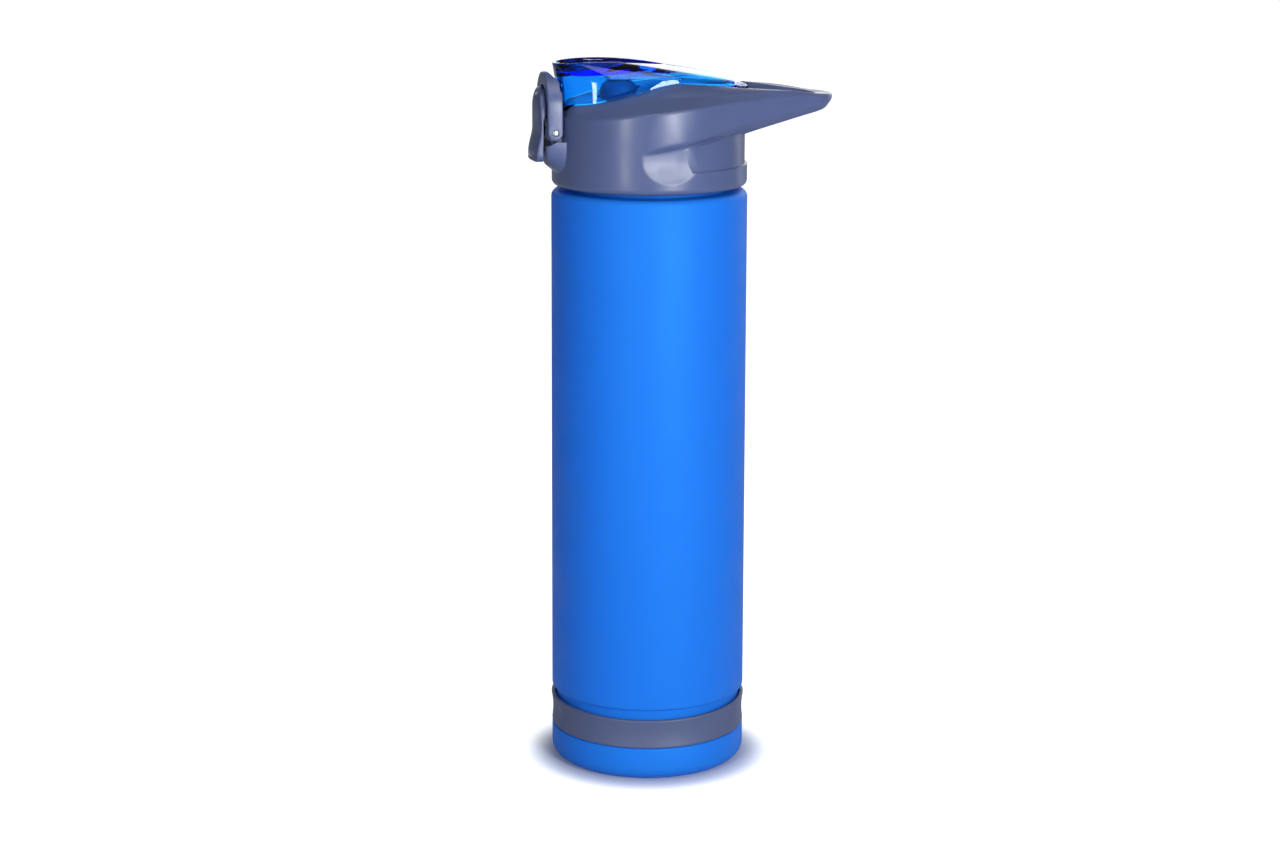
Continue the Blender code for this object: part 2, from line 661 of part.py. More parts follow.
def cap_rings():
    """Rings from the collar's lower edge up the side, round the loop's chamfer, and in over the deck."""
    names = ("edge0", "edge1", "edge2", "side", "under", "chamfer")
    names += ("flank", "rim0", "rim1", "slope", "foot", "seat")
    rings = {name: [] for name in names}
    for turn, outer in collar_stations():
        circle = (math.cos(turn), math.sin(turn))
        rear = smooth_step(outer[1], 0.0, COLLAR_RADIUS / 2)
        for name, inset, lift in COLLAR_EDGE_SHARES:
            radius = COLLAR_RADIUS - COLLAR_EDGE * inset
            height = COLLAR_BOTTOM + COLLAR_EDGE * lift
            rings[name].append((radius * circle[0], radius * circle[1], height))
        wall_y = COLLAR_RADIUS * circle[1]
        wall = (COLLAR_RADIUS * circle[0], wall_y)
        rings["side"].append((*wall, RECESS_LOW - COLLAR_EDGE))
        rings["under"].append((*wall, loop_low(wall_y) - LOOP_CHAMFER_INSET / 2))
        seat = cover_outline(turn, SEAT_MARGIN)
        low = toward(outer, (0.0, outer[1] / 2), LOOP_CHAMFER_INSET * rear) if rear > 0 else outer
        rings["chamfer"].append((*low, loop_low(outer[1])))
        rings["flank"].append((*outer, loop_low(outer[1]) + LOOP_CHAMFER_HEIGHT))
        top = rim_height(outer[1])
        rings["rim0"].append((*outer, top - RIM_EDGE))
        to_rear = smooth_step(circle[1], 0.0, FOOT_REAR_TURN_SHARE)
        inset = between(FOOT_INSET_SIDE, FOOT_INSET_REAR, to_rear)
        foot = toward(outer, seat, inset)
        edge = toward(outer, foot, RIM_EDGE)
        foot_z = foot_height(foot[1])
        rings["rim1"].append((*edge, top))
        middle = ((edge[0] + foot[0]) / 2, (edge[1] + foot[1]) / 2)
        rings["slope"].append((*middle, between(top, foot_z, SLOPE_RISE_SHARE)))
        rings["foot"].append((*foot, foot_z))
        rings["seat"].append((*seat, seat_height(seat[1])))
    return [rings[name] for name in names]


def deck_centre_rings():
    """The deck under the cover, from just inside the seat to the spout."""
    rings = []
    for share in DECK_RING_SHARES:
        ring = []
        for turn, _ in collar_stations():
            edge = cover_outline(turn, SEAT_MARGIN)
            x = between(edge[0], 0.0, share)
            y = between(edge[1], SPOUT_Y, share)
            ring.append((x, y, seat_height(y)))
        rings.append(ring)
    rings.append([(0.0, SPOUT_Y, seat_height(SPOUT_Y))])
    return rings


def cavity_height(y):
    deck = seat_height(y) - DECK_WALL
    drop = CAVITY_LOW + CAVITY_DROP_SHARE * max(0.0, CAVITY_DROP_Y - y)
    return soft_min(deck, drop, SEAT_BLEND)


def cavity_cutter(finish):
    """The hollow inside the collar and under the deck."""
    rings = []
    for index, share in enumerate(CAVITY_RING_SHARES):
        ring = []
        for turn, _ in collar_stations()[::2]:
            radius = CAVITY_RADIUS * share
            x, y = radius * math.cos(turn), radius * math.sin(turn)
            under_rim = rim_height(y) - DECK_WALL - RIM_EDGE
            height = (
                COLLAR_BOTTOM - OVERRUN,
                min(under_rim, cavity_height(y)),
                min(foot_height(y) - DECK_WALL, cavity_height(y)),
                cavity_height(y),
            )[index]
            height = max(height, LINER_TOP + GAP) if index else height
            ring.append((x, y, height))
        rings.append(ring)
    rings.append([(0.0, 0.0, cavity_height(0.0))])
    return loft("cavity_cutter", rings, finish)


def finger_cutter(finish):
    """The finger opening: a round tip, two straight sides and a front that follows the collar."""
    wall = COLLAR_RADIUS + FINGER_WALL_GAP
    corner_y = math.sqrt(wall ** 2 - FINGER_HALF_WIDTH ** 2)
    lean = math.atan2(FINGER_HALF_WIDTH - FINGER_TIP_RADIUS, FINGER_TIP_CENTRE_Y - corner_y)
    lean_degrees = math.degrees(lean)
    tip = (0.0, FINGER_TIP_CENTRE_Y)
    outline = arc(tip, FINGER_TIP_RADIUS, lean_degrees, 180 - lean_degrees, 13)
    outline += [(-FINGER_HALF_WIDTH, corner_y + FINGER_CORNER)]
    half = math.degrees(math.asin((FINGER_HALF_WIDTH - FINGER_CORNER) / wall))
    outline += arc((0.0, 0.0), wall, 90 + half, 90 - half, 9)
    outline += [(FINGER_HALF_WIDTH, corner_y + FINGER_CORNER)]
    return prism("finger_cutter", outline, LOOP_LOW_Z - OVERRUN, SEAT_TOP, finish)


def recess_cutter(finish):
    """The wall under the loop, set in a little, with a slanted edge on each side and a ledge below."""
    low = RECESS_LOW
    inner = COLLAR_RADIUS - RECESS_DEPTH
    outer = COLLAR_RADIUS + OVERRUN
    steps = 29
    rings = []
    for radius, top in ((inner, False), (outer, False), (outer, True), (inner, True)):
        ring = []
        edge_angle = RECESS_ANGLE_HIGH if top else RECESS_ANGLE_LOW
        for i in range(steps + 1):
            turn = between(edge_angle, math.pi - edge_angle, i / steps)
            x, y = radius * math.cos(turn), radius * math.sin(turn)
            wall_y = COLLAR_RADIUS * math.sin(turn)
            ring.append((x, y, loop_low(wall_y) if top else low))
        rings.append(ring)
    faces = []
    count = steps + 1
    points = [point for ring in rings for point in ring]
    for side in range(4):
        other = (side + 1) % 4
        for i in range(steps):
            faces.append([side * count + i, side * count + i + 1, other * count + i + 1, other * count + i])
    faces.append([0, count, 2 * count, 3 * count])
    faces.append([steps, count + steps, 2 * count + steps, 3 * count + steps])
    return solid("recess_cutter", points, faces, finish)


def scoop_cutter(name, side, finish):
    """A shallow finger scoop: part of an ellipsoid that stands off the collar."""
    depth_share = SCOOP_DEPTH / SCOOP_THICKNESS
    grow = 1.0 / math.sqrt(1.0 - (1.0 - depth_share) ** 2)
    centre_x = side * (COLLAR_RADIUS + SCOOP_THICKNESS - SCOOP_DEPTH)
    rings = []
    steps = 20
    tilts = 10
    for i in range(1, tilts):
        tilt = math.pi * i / tilts
        ring = []
        for j in range(steps):
            turn = 2 * math.pi * j / steps
            x = centre_x + side * SCOOP_THICKNESS * math.cos(tilt)
            y = SCOOP_Y + SCOOP_HALF_LENGTH * grow * math.sin(tilt) * math.cos(turn)
            z = SCOOP_Z + SCOOP_HALF_HEIGHT * grow * math.sin(tilt) * math.sin(turn)
            ring.append((x, y, z))
        rings.append(ring)
    front = [(centre_x + side * SCOOP_THICKNESS, SCOOP_Y, SCOOP_Z)]
    back = [(centre_x - side * SCOOP_THICKNESS, SCOOP_Y, SCOOP_Z)]
    return loft(name, [front] + rings + [back], finish)


def boss_solid(finish):
    """The oval boss below the pins; its underside runs back into the collar."""
    top = PIN_Z - CHEEK_RADIUS
    rings = []
    back_y = -(CAVITY_RADIUS - COLLAR_WALL)
    sections = ((BOSS_FRONT_Y, RING_EDGE), (BOSS_FRONT_Y + RING_EDGE, 0.0), (back_y, 0.0))
    for y, shrink in sections:
        bottom = BOSS_BOTTOM - BOSS_SLOPE_SHARE * (y - BOSS_FRONT_Y) + shrink
        half = BOSS_HALF_WIDTH - shrink
        ring = [(half, y, top), (-half, y, top)]
        steps = 21
        for i in range(1, steps):
            turn = math.pi + math.pi * i / steps
            power = 2.0 / BOSS_CORNER_POWER
            x = half * math.copysign(abs(math.cos(turn)) ** power, math.cos(turn))
            z = top - (top - bottom) * abs(math.sin(turn)) ** power
            ring.append((x, y, z))
        rings.append(ring)
    return loft("boss_solid", rings, finish)


def leg_cutters(finish):
    """Clear the path of the ring's legs over the boss and beside the cheeks."""
    reach = RING_DEPTH / 2 + GAP
    slope = BOSS_SHOULDER_ANGLE
    foot = (PIN_Y + reach * math.sin(slope), PIN_Z - reach * math.cos(slope))
    ahead = BOSS_FRONT_Y - OVERRUN
    outline = [(ahead, foot[1] - (foot[0] - ahead) * math.tan(slope)), foot]
    outline += arc((PIN_Y, PIN_Z), reach, -60, 0, 4)
    outline += [(PIN_Y + reach, RING_TOP), (ahead, RING_TOP)]
    found = []
    for side in (-1, 1):
        low, high = sorted((side * (CHEEK_OUTER + GAP), side * (BOSS_HALF_WIDTH + OVERRUN)))
        found.append(prism(f"leg_cutter_{side}", outline, low, high, finish, "X"))
    return found


def pocket_cutter(finish):
    """The hollow behind the paddle, open to the front, above and below."""
    half = POCKET_HALF_WIDTH
    low = (-half, BOSS_FRONT_Y - OVERRUN, BOSS_BOTTOM - BOSS_SLOPE_SHARE * POCKET_DEPTH - OVERRUN)
    high = (half, BOSS_FRONT_Y + POCKET_DEPTH, PIN_Z + CHEEK_RADIUS + OVERRUN)
    return box("pocket_cutter", low, high, finish)


def cheek_solids(finish):
    """The two cheeks that carry the front pin, with round noses."""
    found = []
    back_y = -(CAVITY_RADIUS + COLLAR_WALL / 4)
    for side in (-1, 1):
        outline = arc((PIN_Y, PIN_Z), CHEEK_RADIUS, 90, 270, 12)
        outline += [(back_y, PIN_Z - CHEEK_RADIUS), (back_y, PIN_Z + CHEEK_RADIUS)]
        low, high = sorted((side * CHEEK_INNER, side * CHEEK_OUTER))
        found.append(prism(f"cheek_solid_{side}", outline, low, high, finish, "X"))
    return found


def hinge_trough_cutter(finish):
    """The hollow for the cover's knuckles, open above and to the rear."""
    reach = TROUGH_REACH
    outline = [(TROUGH_FRONT_Y, SEAT_TOP)]
    outline += [(TROUGH_FRONT_Y, HINGE_Z - reach)]
    outline += [(HINGE_Y + reach, HINGE_Z - reach)]
    outline += [(HINGE_Y + reach, REAR_WALL_TOP)]
    outline += [(COLLAR_RADIUS + FINGER_WALL_GAP + OVERRUN, REAR_WALL_TOP)]
    outline += [(COLLAR_RADIUS + FINGER_WALL_GAP + OVERRUN, SEAT_TOP)]
    return prism("hinge_trough_cutter", outline, -TROUGH_HALF_WIDTH, TROUGH_HALF_WIDTH, finish, "X")


def hinge_lug(finish):
    """The single lug of the cap between the cover's knuckles."""
    outline = arc((HINGE_Y, HINGE_Z), HINGE_LUG_RADIUS, 0, 180, 12)
    foot = HINGE_Z - TROUGH_REACH - OVERRUN / 2
    outline += [(HINGE_Y - HINGE_LUG_RADIUS, foot), (HINGE_Y + HINGE_LUG_RADIUS, foot)]
    half = KNUCKLE_INNER - GAP
    return prism("hinge_lug_solid", outline, -half, half, finish, "X")


def front_axis():
    """Where the front pin's bores run, and their radius."""
    return PIN_Y, PIN_Z, FRONT_PIN_RADIUS + PIN_PLAY


def hinge_axis():
    """Where the hinge pin's bores run, and their radius."""
    return HINGE_Y, HINGE_Z, HINGE_PIN_RADIUS + PIN_PLAY


def pin_bore(name, y, z, radius, half_length, finish):
    outline = [(0.0, -half_length), (radius, -half_length), (radius, half_length), (0.0, half_length)]
    return turned(name, outline, finish, (y, z), SMALL_STEPS, along_x=True)


def slot_cutter(finish):
    """Room for the paddle's lug in the collar's side."""
    outline = arc((PIN_Y, PIN_Z), LUG_RADIUS + GAP, -90, 90, 12)
    front = BOSS_FRONT_Y - OVERRUN
    outline += [(front, PIN_Z + LUG_RADIUS + GAP), (front, PIN_Z - LUG_RADIUS - GAP)]
    half = LUG_HALF_WIDTH + GAP
    return prism("slot_cutter", outline, -half, half, finish, "X")


def make_cap_shell(grey):
    shell = loft("cap_shell", cap_rings() + deck_centre_rings(), grey)
    join(shell, boss_solid(grey))
    cut(shell, pocket_cutter(grey), slot_cutter(grey))
    join(shell, *cheek_solids(grey))
    cut(shell, cavity_cutter(grey), *leg_cutters(grey))
    spout_hole = [(0.0, LINER_DISC_LOW), (DECK_HOLE_RADIUS, LINER_DISC_LOW)]
    spout_hole += [(DECK_HOLE_RADIUS, TOP_HEIGHT), (0.0, TOP_HEIGHT)]
    cut(shell, turned("deck_hole_cutter", spout_hole, grey, (0.0, SPOUT_Y), 48))
    cut(shell, finger_cutter(grey), recess_cutter(grey))
    cut(shell, scoop_cutter("scoop_cutter_right", 1, grey))
    cut(shell, scoop_cutter("scoop_cutter_left", -1, grey))
    cut(shell, hinge_trough_cutter(grey))
    join(shell, hinge_lug(grey))
    cut(shell, pin_bore("front_bore", *front_axis(), BOSS_HALF_WIDTH + OVERRUN, grey))
    cut(shell, pin_bore("lug_bore", *hinge_axis(), KNUCKLE_OUTER, grey))
    return shell


# Liner, gasket and spout


def make_liner(white):
    skirt_low = SHOULDER_HEIGHT + LINER_SKIRT_CLEAR
    profile = [(0.0, LINER_TOP), (LINER_RADIUS - NECK_EDGE, LINER_TOP)]
    profile += [(LINER_RADIUS, LINER_TOP - NECK_EDGE), (LINER_RADIUS, skirt_low)]
    profile += [(LINER_INNER_RADIUS, skirt_low)]
    profile += [(LINER_INNER_RADIUS, LINER_DISC_LOW), (0.0, LINER_DISC_LOW)]
    liner = turned("thread_liner", profile, white)
    chimney = [(0.0, LINER_DISC_LOW + GAP), (CHIMNEY_RADIUS, LINER_DISC_LOW + GAP)]
    chimney += [(CHIMNEY_RADIUS, CHIMNEY_TOP), (0.0, CHIMNEY_TOP)]
    join(liner, turned("chimney_solid", chimney, white, (0.0, SPOUT_Y), 40))
    bore = [(0.0, LINER_DISC_LOW - OVERRUN), (CHIMNEY_BORE, LINER_DISC_LOW - OVERRUN)]
    bore += [(CHIMNEY_BORE, CHIMNEY_TOP + OVERRUN), (0.0, CHIMNEY_TOP + OVERRUN)]
    cut(liner, turned("chimney_bore", bore, white, (0.0, SPOUT_Y), 40))
    return liner


def make_gasket(rubber):
    inside = NECK_RADIUS - NECK_WALL - GASKET_MARGIN
    outside = NECK_RADIUS + GASKET_MARGIN
    low, high = GASKET_LOW, GASKET_LOW + GASKET_HEIGHT
    edge = GASKET_HEIGHT * GASKET_EDGE_SHARE
    outline = [(inside, low), (outside, low), (outside, high - edge), (outside - edge, high)]
    outline += [(inside + edge, high), (inside, high - edge)]
    return turned("cap_gasket", outline, rubber, steps=32, closed=True)


def make_spout(grey):
    foot = LINER_DISC_LOW + GAP
    lip = SPOUT_LIP_HEIGHT
    flare, drop = SPOUT_NECK_SHARES
    inward, fall = SPOUT_LIP_SHARES
    lip_radius = between(SPOUT_NECK_RADIUS, SPOUT_LIP_RADIUS, inward)
    outline = [(SPOUT_BORE, foot), (SPOUT_PLUG_RADIUS, foot), (SPOUT_PLUG_RADIUS, SPOUT_BASE_Z)]
    outline += [(SPOUT_BASE_RADIUS, SPOUT_BASE_Z), (SPOUT_NECK_RADIUS + lip * flare, SPOUT_TOP - lip * drop)]
    outline += [(SPOUT_NECK_RADIUS, SPOUT_TOP - lip), (lip_radius, SPOUT_TOP - lip * fall)]
    outline += [(SPOUT_LIP_RADIUS, SPOUT_TOP), (SPOUT_BORE + NECK_EDGE / 2, SPOUT_TOP)]
    outline += [(SPOUT_BORE, SPOUT_TOP - NECK_EDGE)]
    return turned("drink_spout", outline, grey, (0.0, SPOUT_Y), 28, closed=True)


def make_stopper(rubber):
    top = DISH_UNDERSIDE - GAP
    flange_low = SPOUT_TOP + GAP
    radius = SPOUT_BORE - GAP
    outline = [(0.0, top), (STOPPER_FLANGE_RADIUS, top), (STOPPER_FLANGE_RADIUS, flange_low)]
    outline += [(radius, flange_low), (radius - STOPPER_TAPER, SPOUT_TOP - STOPPER_REACH)]
    outline += [(0.0, SPOUT_TOP - STOPPER_REACH)]
    stopper = turned("spout_plug", outline, rubber, (0.0, SPOUT_Y), 32)
    set_origin(stopper, (0.0, HINGE_Y, HINGE_Z))
    return stopper


# Flip cover


def top_height(y):
    return TOP_HEIGHT - (y - TOP_CREST_Y) ** 2 / (2 * TOP_ARC)


def top_outline(turn, inset=0.0):
    """Point of the dish's rim, a drop shape that is blunt at the front and tapers to the rear."""
    rear = math.sin(turn) > 0
    power = TOP_REAR_POWER if rear else TOP_FRONT_POWER
    length = TOP_REAR_LENGTH if rear else TOP_FRONT_LENGTH
    across = abs(math.cos(turn)) / (TOP_HALF_WIDTH - inset)
    along = abs(math.sin(turn)) / (length - inset)
    radius = (across ** power + along ** power) ** (-1.0 / power)
    return radius * math.cos(turn), TOP_CENTRE_Y + radius * math.sin(turn)


def cover_skin(turn, rise):
    """Outer surface of the cover's side: rise runs from 0 at the seat to 1 at the dish's rim."""
    base = cover_outline(turn)
    rim = top_outline(turn)
    to_rear = smooth_step(math.sin(turn), COVER_REAR_START_SHARE, 1.0)
    power = between(COVER_RISE_POWER, COVER_REAR_RISE_POWER, to_rear)
    share = rise ** power
    low = seat_height(base[1]) + COVER_LIFT
    high = top_height(rim[1])
    x = between(base[0], rim[0], share)
    y = between(base[1], rim[1], share)
    return Vector((x, y, between(low, high, rise)))


def cover_inside(turn, rise):
    """The same surface, set in along its normal by the wall."""
    small = STEP_SHARE
    here = cover_skin(turn, rise)
    along = cover_skin(turn + small, rise) - cover_skin(turn - small, rise)
    up = cover_skin(turn, rise + small) - cover_skin(turn, max(0.0, rise - small))
    inner = here - along.cross(up).normalized() * COVER_WALL
    inner.z = max(inner.z, seat_height(inner.y) + COVER_LIFT + COVER_FOOT_CLIMB * rise)
    return inner


def cover_rings():
    turns = [2 * math.pi * i / COVER_STEPS for i in range(COVER_STEPS)]
    rings = []
    for rise in COVER_OUTER_SHARES:
        rings.append([cover_skin(turn, rise) for turn in turns])
    for inset, drop in TOP_LIP_SHARES:
        ring = []
        for turn in turns:
            x, y = top_outline(turn, TOP_LIP * inset)
            ring.append((x, y, top_height(y) - TOP_LIP * drop))
        rings.append(ring)
    last_inset, last_drop = TOP_LIP_SHARES[-1]
    for share in DISH_SHARES:
        ring = []
        for turn in turns:
            inset = between(TOP_LIP * last_inset, DISH_INSET, share ** DISH_POWER)
            x, y = top_outline(turn, inset)
            rim = top_height(y) - TOP_LIP * last_drop
            ring.append((x, y, between(rim, DISH_FLOOR, share)))
        rings.append(ring)
    sag = DISH_FLOOR - DISH_FLOOR_SAG
    middle = between(DISH_FLOOR, sag, DISH_FLOOR_SHARE)
    rings.append([floor_point(turn, DISH_FLOOR_SHARE, middle) for turn in turns])
    rings.append([(0.0, TOP_CENTRE_Y, sag)])
    rings.append([(0.0, TOP_CENTRE_Y, DISH_UNDERSIDE)])
    for share in UNDERSIDE_SHARES:
        rings.append([floor_point(turn, share, DISH_UNDERSIDE) for turn in turns])
    for rise in COVER_INNER_SHARES:
        rings.append([cover_inside(turn, rise) for turn in turns])
    foot = []
    for turn in turns:
        inner = cover_inside(turn, 0.0)
        foot.append((inner.x, inner.y, seat_height(inner.y) + COVER_LIFT))
    rings.append(foot)
    return rings


def floor_point(turn, share, height):
    x, y = top_outline(turn, DISH_INSET)
    return between(0.0, x, share), between(TOP_CENTRE_Y, y, share), height


def tooth_tip():
    """How far forward the cover's tooth reaches, in y."""
    return cover_skin(-math.pi / 2, TOOTH_RISE_SHARE).y - TOOTH_REACH


def make_cover(clear_blue):
    cover = loft("flip_cover", cover_rings(), clear_blue, closed=True)
    set_origin(cover, (0.0, HINGE_Y, HINGE_Z))
    notch = KNUCKLE_INNER + GAP
    outline = [(NOTCH_RADIUS, -notch), (NOTCH_RADIUS, notch)]
    cut(cover, turned("lug_notch_cutter", outline, clear_blue, (HINGE_Y, HINGE_Z), 28, along_x=True))
    coil = HINGE_COIL_RADIUS + HINGE_WIRE + GAP
    outline = [(coil, -KNUCKLE_OUTER + KNUCKLE_THIN - GAP), (coil, -KNUCKLE_INNER + GAP)]
    cut(cover, turned("coil_cutter", outline, clear_blue, (HINGE_Y, HINGE_Z), 28, along_x=True))
    spans = ((KNUCKLE_INNER, KNUCKLE_OUTER), (-KNUCKLE_OUTER, -KNUCKLE_OUTER + KNUCKLE_THIN))
    for index, (low, high) in enumerate(spans):
        barrel = [(0.0, low), (KNUCKLE_RADIUS, low), (KNUCKLE_RADIUS, high), (0.0, high)]
        knuckle = turned(f"knuckle_solid_{index}", barrel, clear_blue, (HINGE_Y, HINGE_Z), 28, along_x=True)
        join(cover, knuckle)
    cut(cover, pin_bore("knuckle_bore", *hinge_axis(), KNUCKLE_OUTER + OVERRUN, clear_blue))
    half = TOOTH_HALF_WIDTH
    tooth_low = (-half, tooth_tip(), TOOTH_LOW)
    tooth_high = (half, tooth_tip() + TOOTH_REACH + COVER_WALL / 2, TOOTH_LOW + TOOTH_HEIGHT)
    join(cover, box("tooth_solid", tooth_low, tooth_high, clear_blue))
    return cover


# Lock ring


def ring_outlines():
    """Outer and inner outline of the ring in x and z, point for point, from one foot over to the other."""
    steps = 18
    foot = RING_DEPTH / 2
    arch_z = RING_TOP - RING_HALF_WIDTH
    inner_rise = RING_HALF_WIDTH - RING_ARCH_HEIGHT
    middle_z = (PIN_Z + arch_z) / 2
    outer = [(RING_HALF_WIDTH, PIN_Z), (RING_HALF_WIDTH, middle_z)]
    inner = [(RING_INNER_HALF_WIDTH, PIN_Z), (RING_INNER_HALF_WIDTH, middle_z)]
    for i in range(steps + 1):
        turn = math.pi * i / steps
        outer.append((RING_HALF_WIDTH * math.cos(turn), arch_z + RING_HALF_WIDTH * math.sin(turn)))
        inner.append((RING_INNER_HALF_WIDTH * math.cos(turn), arch_z + inner_rise * math.sin(turn)))
    outer += [(-x, z) for x, z in reversed(outer[:2])]
    inner += [(-x, z) for x, z in reversed(inner[:2])]
    return outer, inner, foot


def make_lock_ring(grey):
    outer, inner, foot = ring_outlines()
    rings = []
    edge = RING_EDGE
    for (ox, oz), (ix, iz) in zip(outer, inner):
        width = math.hypot(ox - ix, oz - iz)
        out_x, out_z = (ox - ix) / width, (oz - iz) / width
        bevel = edge * RING_EDGE_SHARE
        section = [(0.0, edge), (bevel, bevel), (edge, 0.0), (width - edge / 2, 0.0), (width, edge / 2)]
        section += [(width, RING_DEPTH), (edge / 2, RING_DEPTH), (0.0, RING_DEPTH - edge / 2)]
        ring = []
        for inward, back in section:
            ring.append((ox - out_x * inward, RING_FRONT_Y + back, oz - out_z * inward))
        rings.append(ring)
    ring = loft("lock_ring", rings, grey)
    set_origin(ring, (0.0, PIN_Y, PIN_Z))
    for side in (-1, 1):
        low, high = sorted((side * RING_INNER_HALF_WIDTH, side * RING_HALF_WIDTH))
        edge = RING_EDGE / 2
        end = [(0.0, low), (foot - edge, low), (foot, low + edge)]
        end += [(foot, high - edge), (foot - edge, high), (0.0, high)]
        join(ring, turned(f"ring_foot_solid_{side}", end, grey, (PIN_Y, PIN_Z), 28, along_x=True))
    crest_y = PIN_Y - RING_CHAMFER_STAND
    back_y = PIN_Y + RING_BACK_STAND
    foot_z = RING_TOP - RING_BACK_HEIGHT
    chamfer = [(crest_y, RING_TOP), (back_y, RING_TOP - RING_CHAMFER_HEIGHT)]
    chamfer += [(back_y, foot_z), (RING_BACK_Y + OVERRUN, foot_z - OVERRUN)]
    chamfer += [(RING_BACK_Y + OVERRUN, RING_TOP + OVERRUN), (crest_y - OVERRUN, RING_TOP + OVERRUN)]
    half = RING_HALF_WIDTH + OVERRUN
    cut(ring, prism("ring_chamfer_cutter", chamfer, -half, half, grey, "X"))
    cut(ring, pin_bore("ring_bore", *front_axis(), half, grey))
    return ring


# Paddle


def paddle_outline():
    """The paddle seen from the front, x and z: a round top, straight sides and a foot with round corners."""
    top_centre = PADDLE_TOP - PADDLE_HALF_WIDTH
    outline = arc((0.0, top_centre), PADDLE_HALF_WIDTH, 0, 180, 16)
    corner = PADDLE_CORNER
    left = []
    for share in PADDLE_SIDE_SHARES:
        left.append((-PADDLE_HALF_WIDTH, between(PADDLE_LIP_HIGH, PADDLE_LIP_LOW + corner, share)))
    left += arc((corner - PADDLE_HALF_WIDTH, PADDLE_BOTTOM + corner), corner, 180, 270, 3)
    bottom_steps = 4
    right = [(-x, z) for x, z in reversed(left)]
    bottom = []
    for i in range(1, bottom_steps):
        bottom.append((between(left[-1][0], right[0][0], i / bottom_steps), PADDLE_BOTTOM))
    return outline + left + bottom + right


def paddle_face(x, z):
    """Front surface of the paddle: round about the bottle's axis, with a lip below, leaning back above."""
    lip = PADDLE_LIP * smooth_step(-z, -PADDLE_LIP_HIGH, -PADDLE_LIP_LOW)
    lean = max(0.0, z - PADDLE_LEAN_Z) ** 2 / (2 * PADDLE_LEAN_ARC)
    return -math.sqrt((PADDLE_FACE + lip - lean) ** 2 - x ** 2)


def paddle_back(z):
    return PADDLE_BACK_Y + PADDLE_BACK_STEP * smooth_step(z, PIN_Z + CHEEK_RADIUS, PADDLE_LEAN_Z)


def make_paddle(grey):
    outline = paddle_outline()
    middle_z = (PADDLE_TOP + PADDLE_BOTTOM) / 2
    rings = []

    def ring_at(scale_share, depth):
        ring = []
        for x, z in outline:
            px, pz = x * scale_share, between(middle_z, z, scale_share)
            ring.append((px, depth(px, pz), pz))
        return ring

    rings.append([(0.0, paddle_back(middle_z), middle_z)])
    for share in PADDLE_BACK_SHARES:
        rings.append(ring_at(share, lambda x, z: paddle_back(z)))
    for share in PADDLE_EDGE_SHARES:
        rings.append(ring_at(1.0, lambda x, z: between(paddle_back(z), paddle_face(x, z), share)))
    for share in PADDLE_FACE_SHARES:
        sink = PAD_GROOVE_DEPTH if share == PAD_GROOVE_SHARE else 0.0
        rings.append(ring_at(share, lambda x, z: paddle_face(x, z) + sink))
    rings.append([(0.0, paddle_face(0.0, middle_z), middle_z)])
    paddle = loft("latch_button", rings, grey)
    set_origin(paddle, (0.0, PIN_Y, PIN_Z))
    sink = PADDLE_BACK_Y - PADDLE_SINK
    lug = arc((PIN_Y, PIN_Z), LUG_RADIUS, -90, 90, 12)
    lug += [(sink, PIN_Z + LUG_RADIUS), (sink, PIN_Z - LUG_RADIUS)]
    join(paddle, prism("paddle_lug_solid", lug, -LUG_HALF_WIDTH, LUG_NARROW_X, grey, "X"))
    hook_top = HOOK_LOW + HOOK_HEIGHT
    hook_tip = tooth_tip() - SIDE_PLAY
    hook = [(sink, HOOK_LOW), (hook_tip, HOOK_LOW), (hook_tip, HOOK_LOW + HOOK_HEIGHT / 2)]
    hook += [(hook_tip - HOOK_HEIGHT / 2, hook_top), (sink, hook_top)]
    join(paddle, prism("paddle_hook_solid", hook, -HOOK_HALF_WIDTH, HOOK_HALF_WIDTH, grey, "X"))
    cut(paddle, pin_bore("paddle_bore", *front_axis(), LUG_HALF_WIDTH + OVERRUN, grey))
    return paddle


# Pins and springs


def make_pin(name, y, z, radius, half_length, steel):
    edge = radius * PIN_EDGE_SHARE
    outline = [(0.0, -half_length), (radius - edge, -half_length), (radius, -half_length + edge)]
    outline += [(radius, half_length - edge), (radius - edge, half_length), (0.0, half_length)]
    return turned(name, outline, steel, (y, z), SMALL_STEPS, along_x=True)


def tube(name, route, radius, finish):
    """A round wire along a route of points, with flat ends."""
    rings = []
    side = None
    for i, here in enumerate(route):
        before = route[max(0, i - 1)]
        after = route[min(len(route) - 1, i + 1)]
        along = (after - before).normalized()
        side = along.orthogonal() if side is None else side - along * side.dot(along)
        side = side.normalized()
        other = along.cross(side)
        ring = []
        for j in range(WIRE_SIDES):
            turn = 2 * math.pi * j / WIRE_SIDES
            ring.append(here + (side * math.cos(turn) + other * math.sin(turn)) * radius)
        rings.append(ring)
    return loft(name, rings, finish)


def least_gap(route, wire):
    """The least distance between two turns of a wire, surface to surface, on the points of its route."""
    apart = COIL_STEPS // 2
    pairs = [(a, b) for i, a in enumerate(route) for b in route[i + apart :]]
    return min((a - b).length for a, b in pairs) - 2 * wire


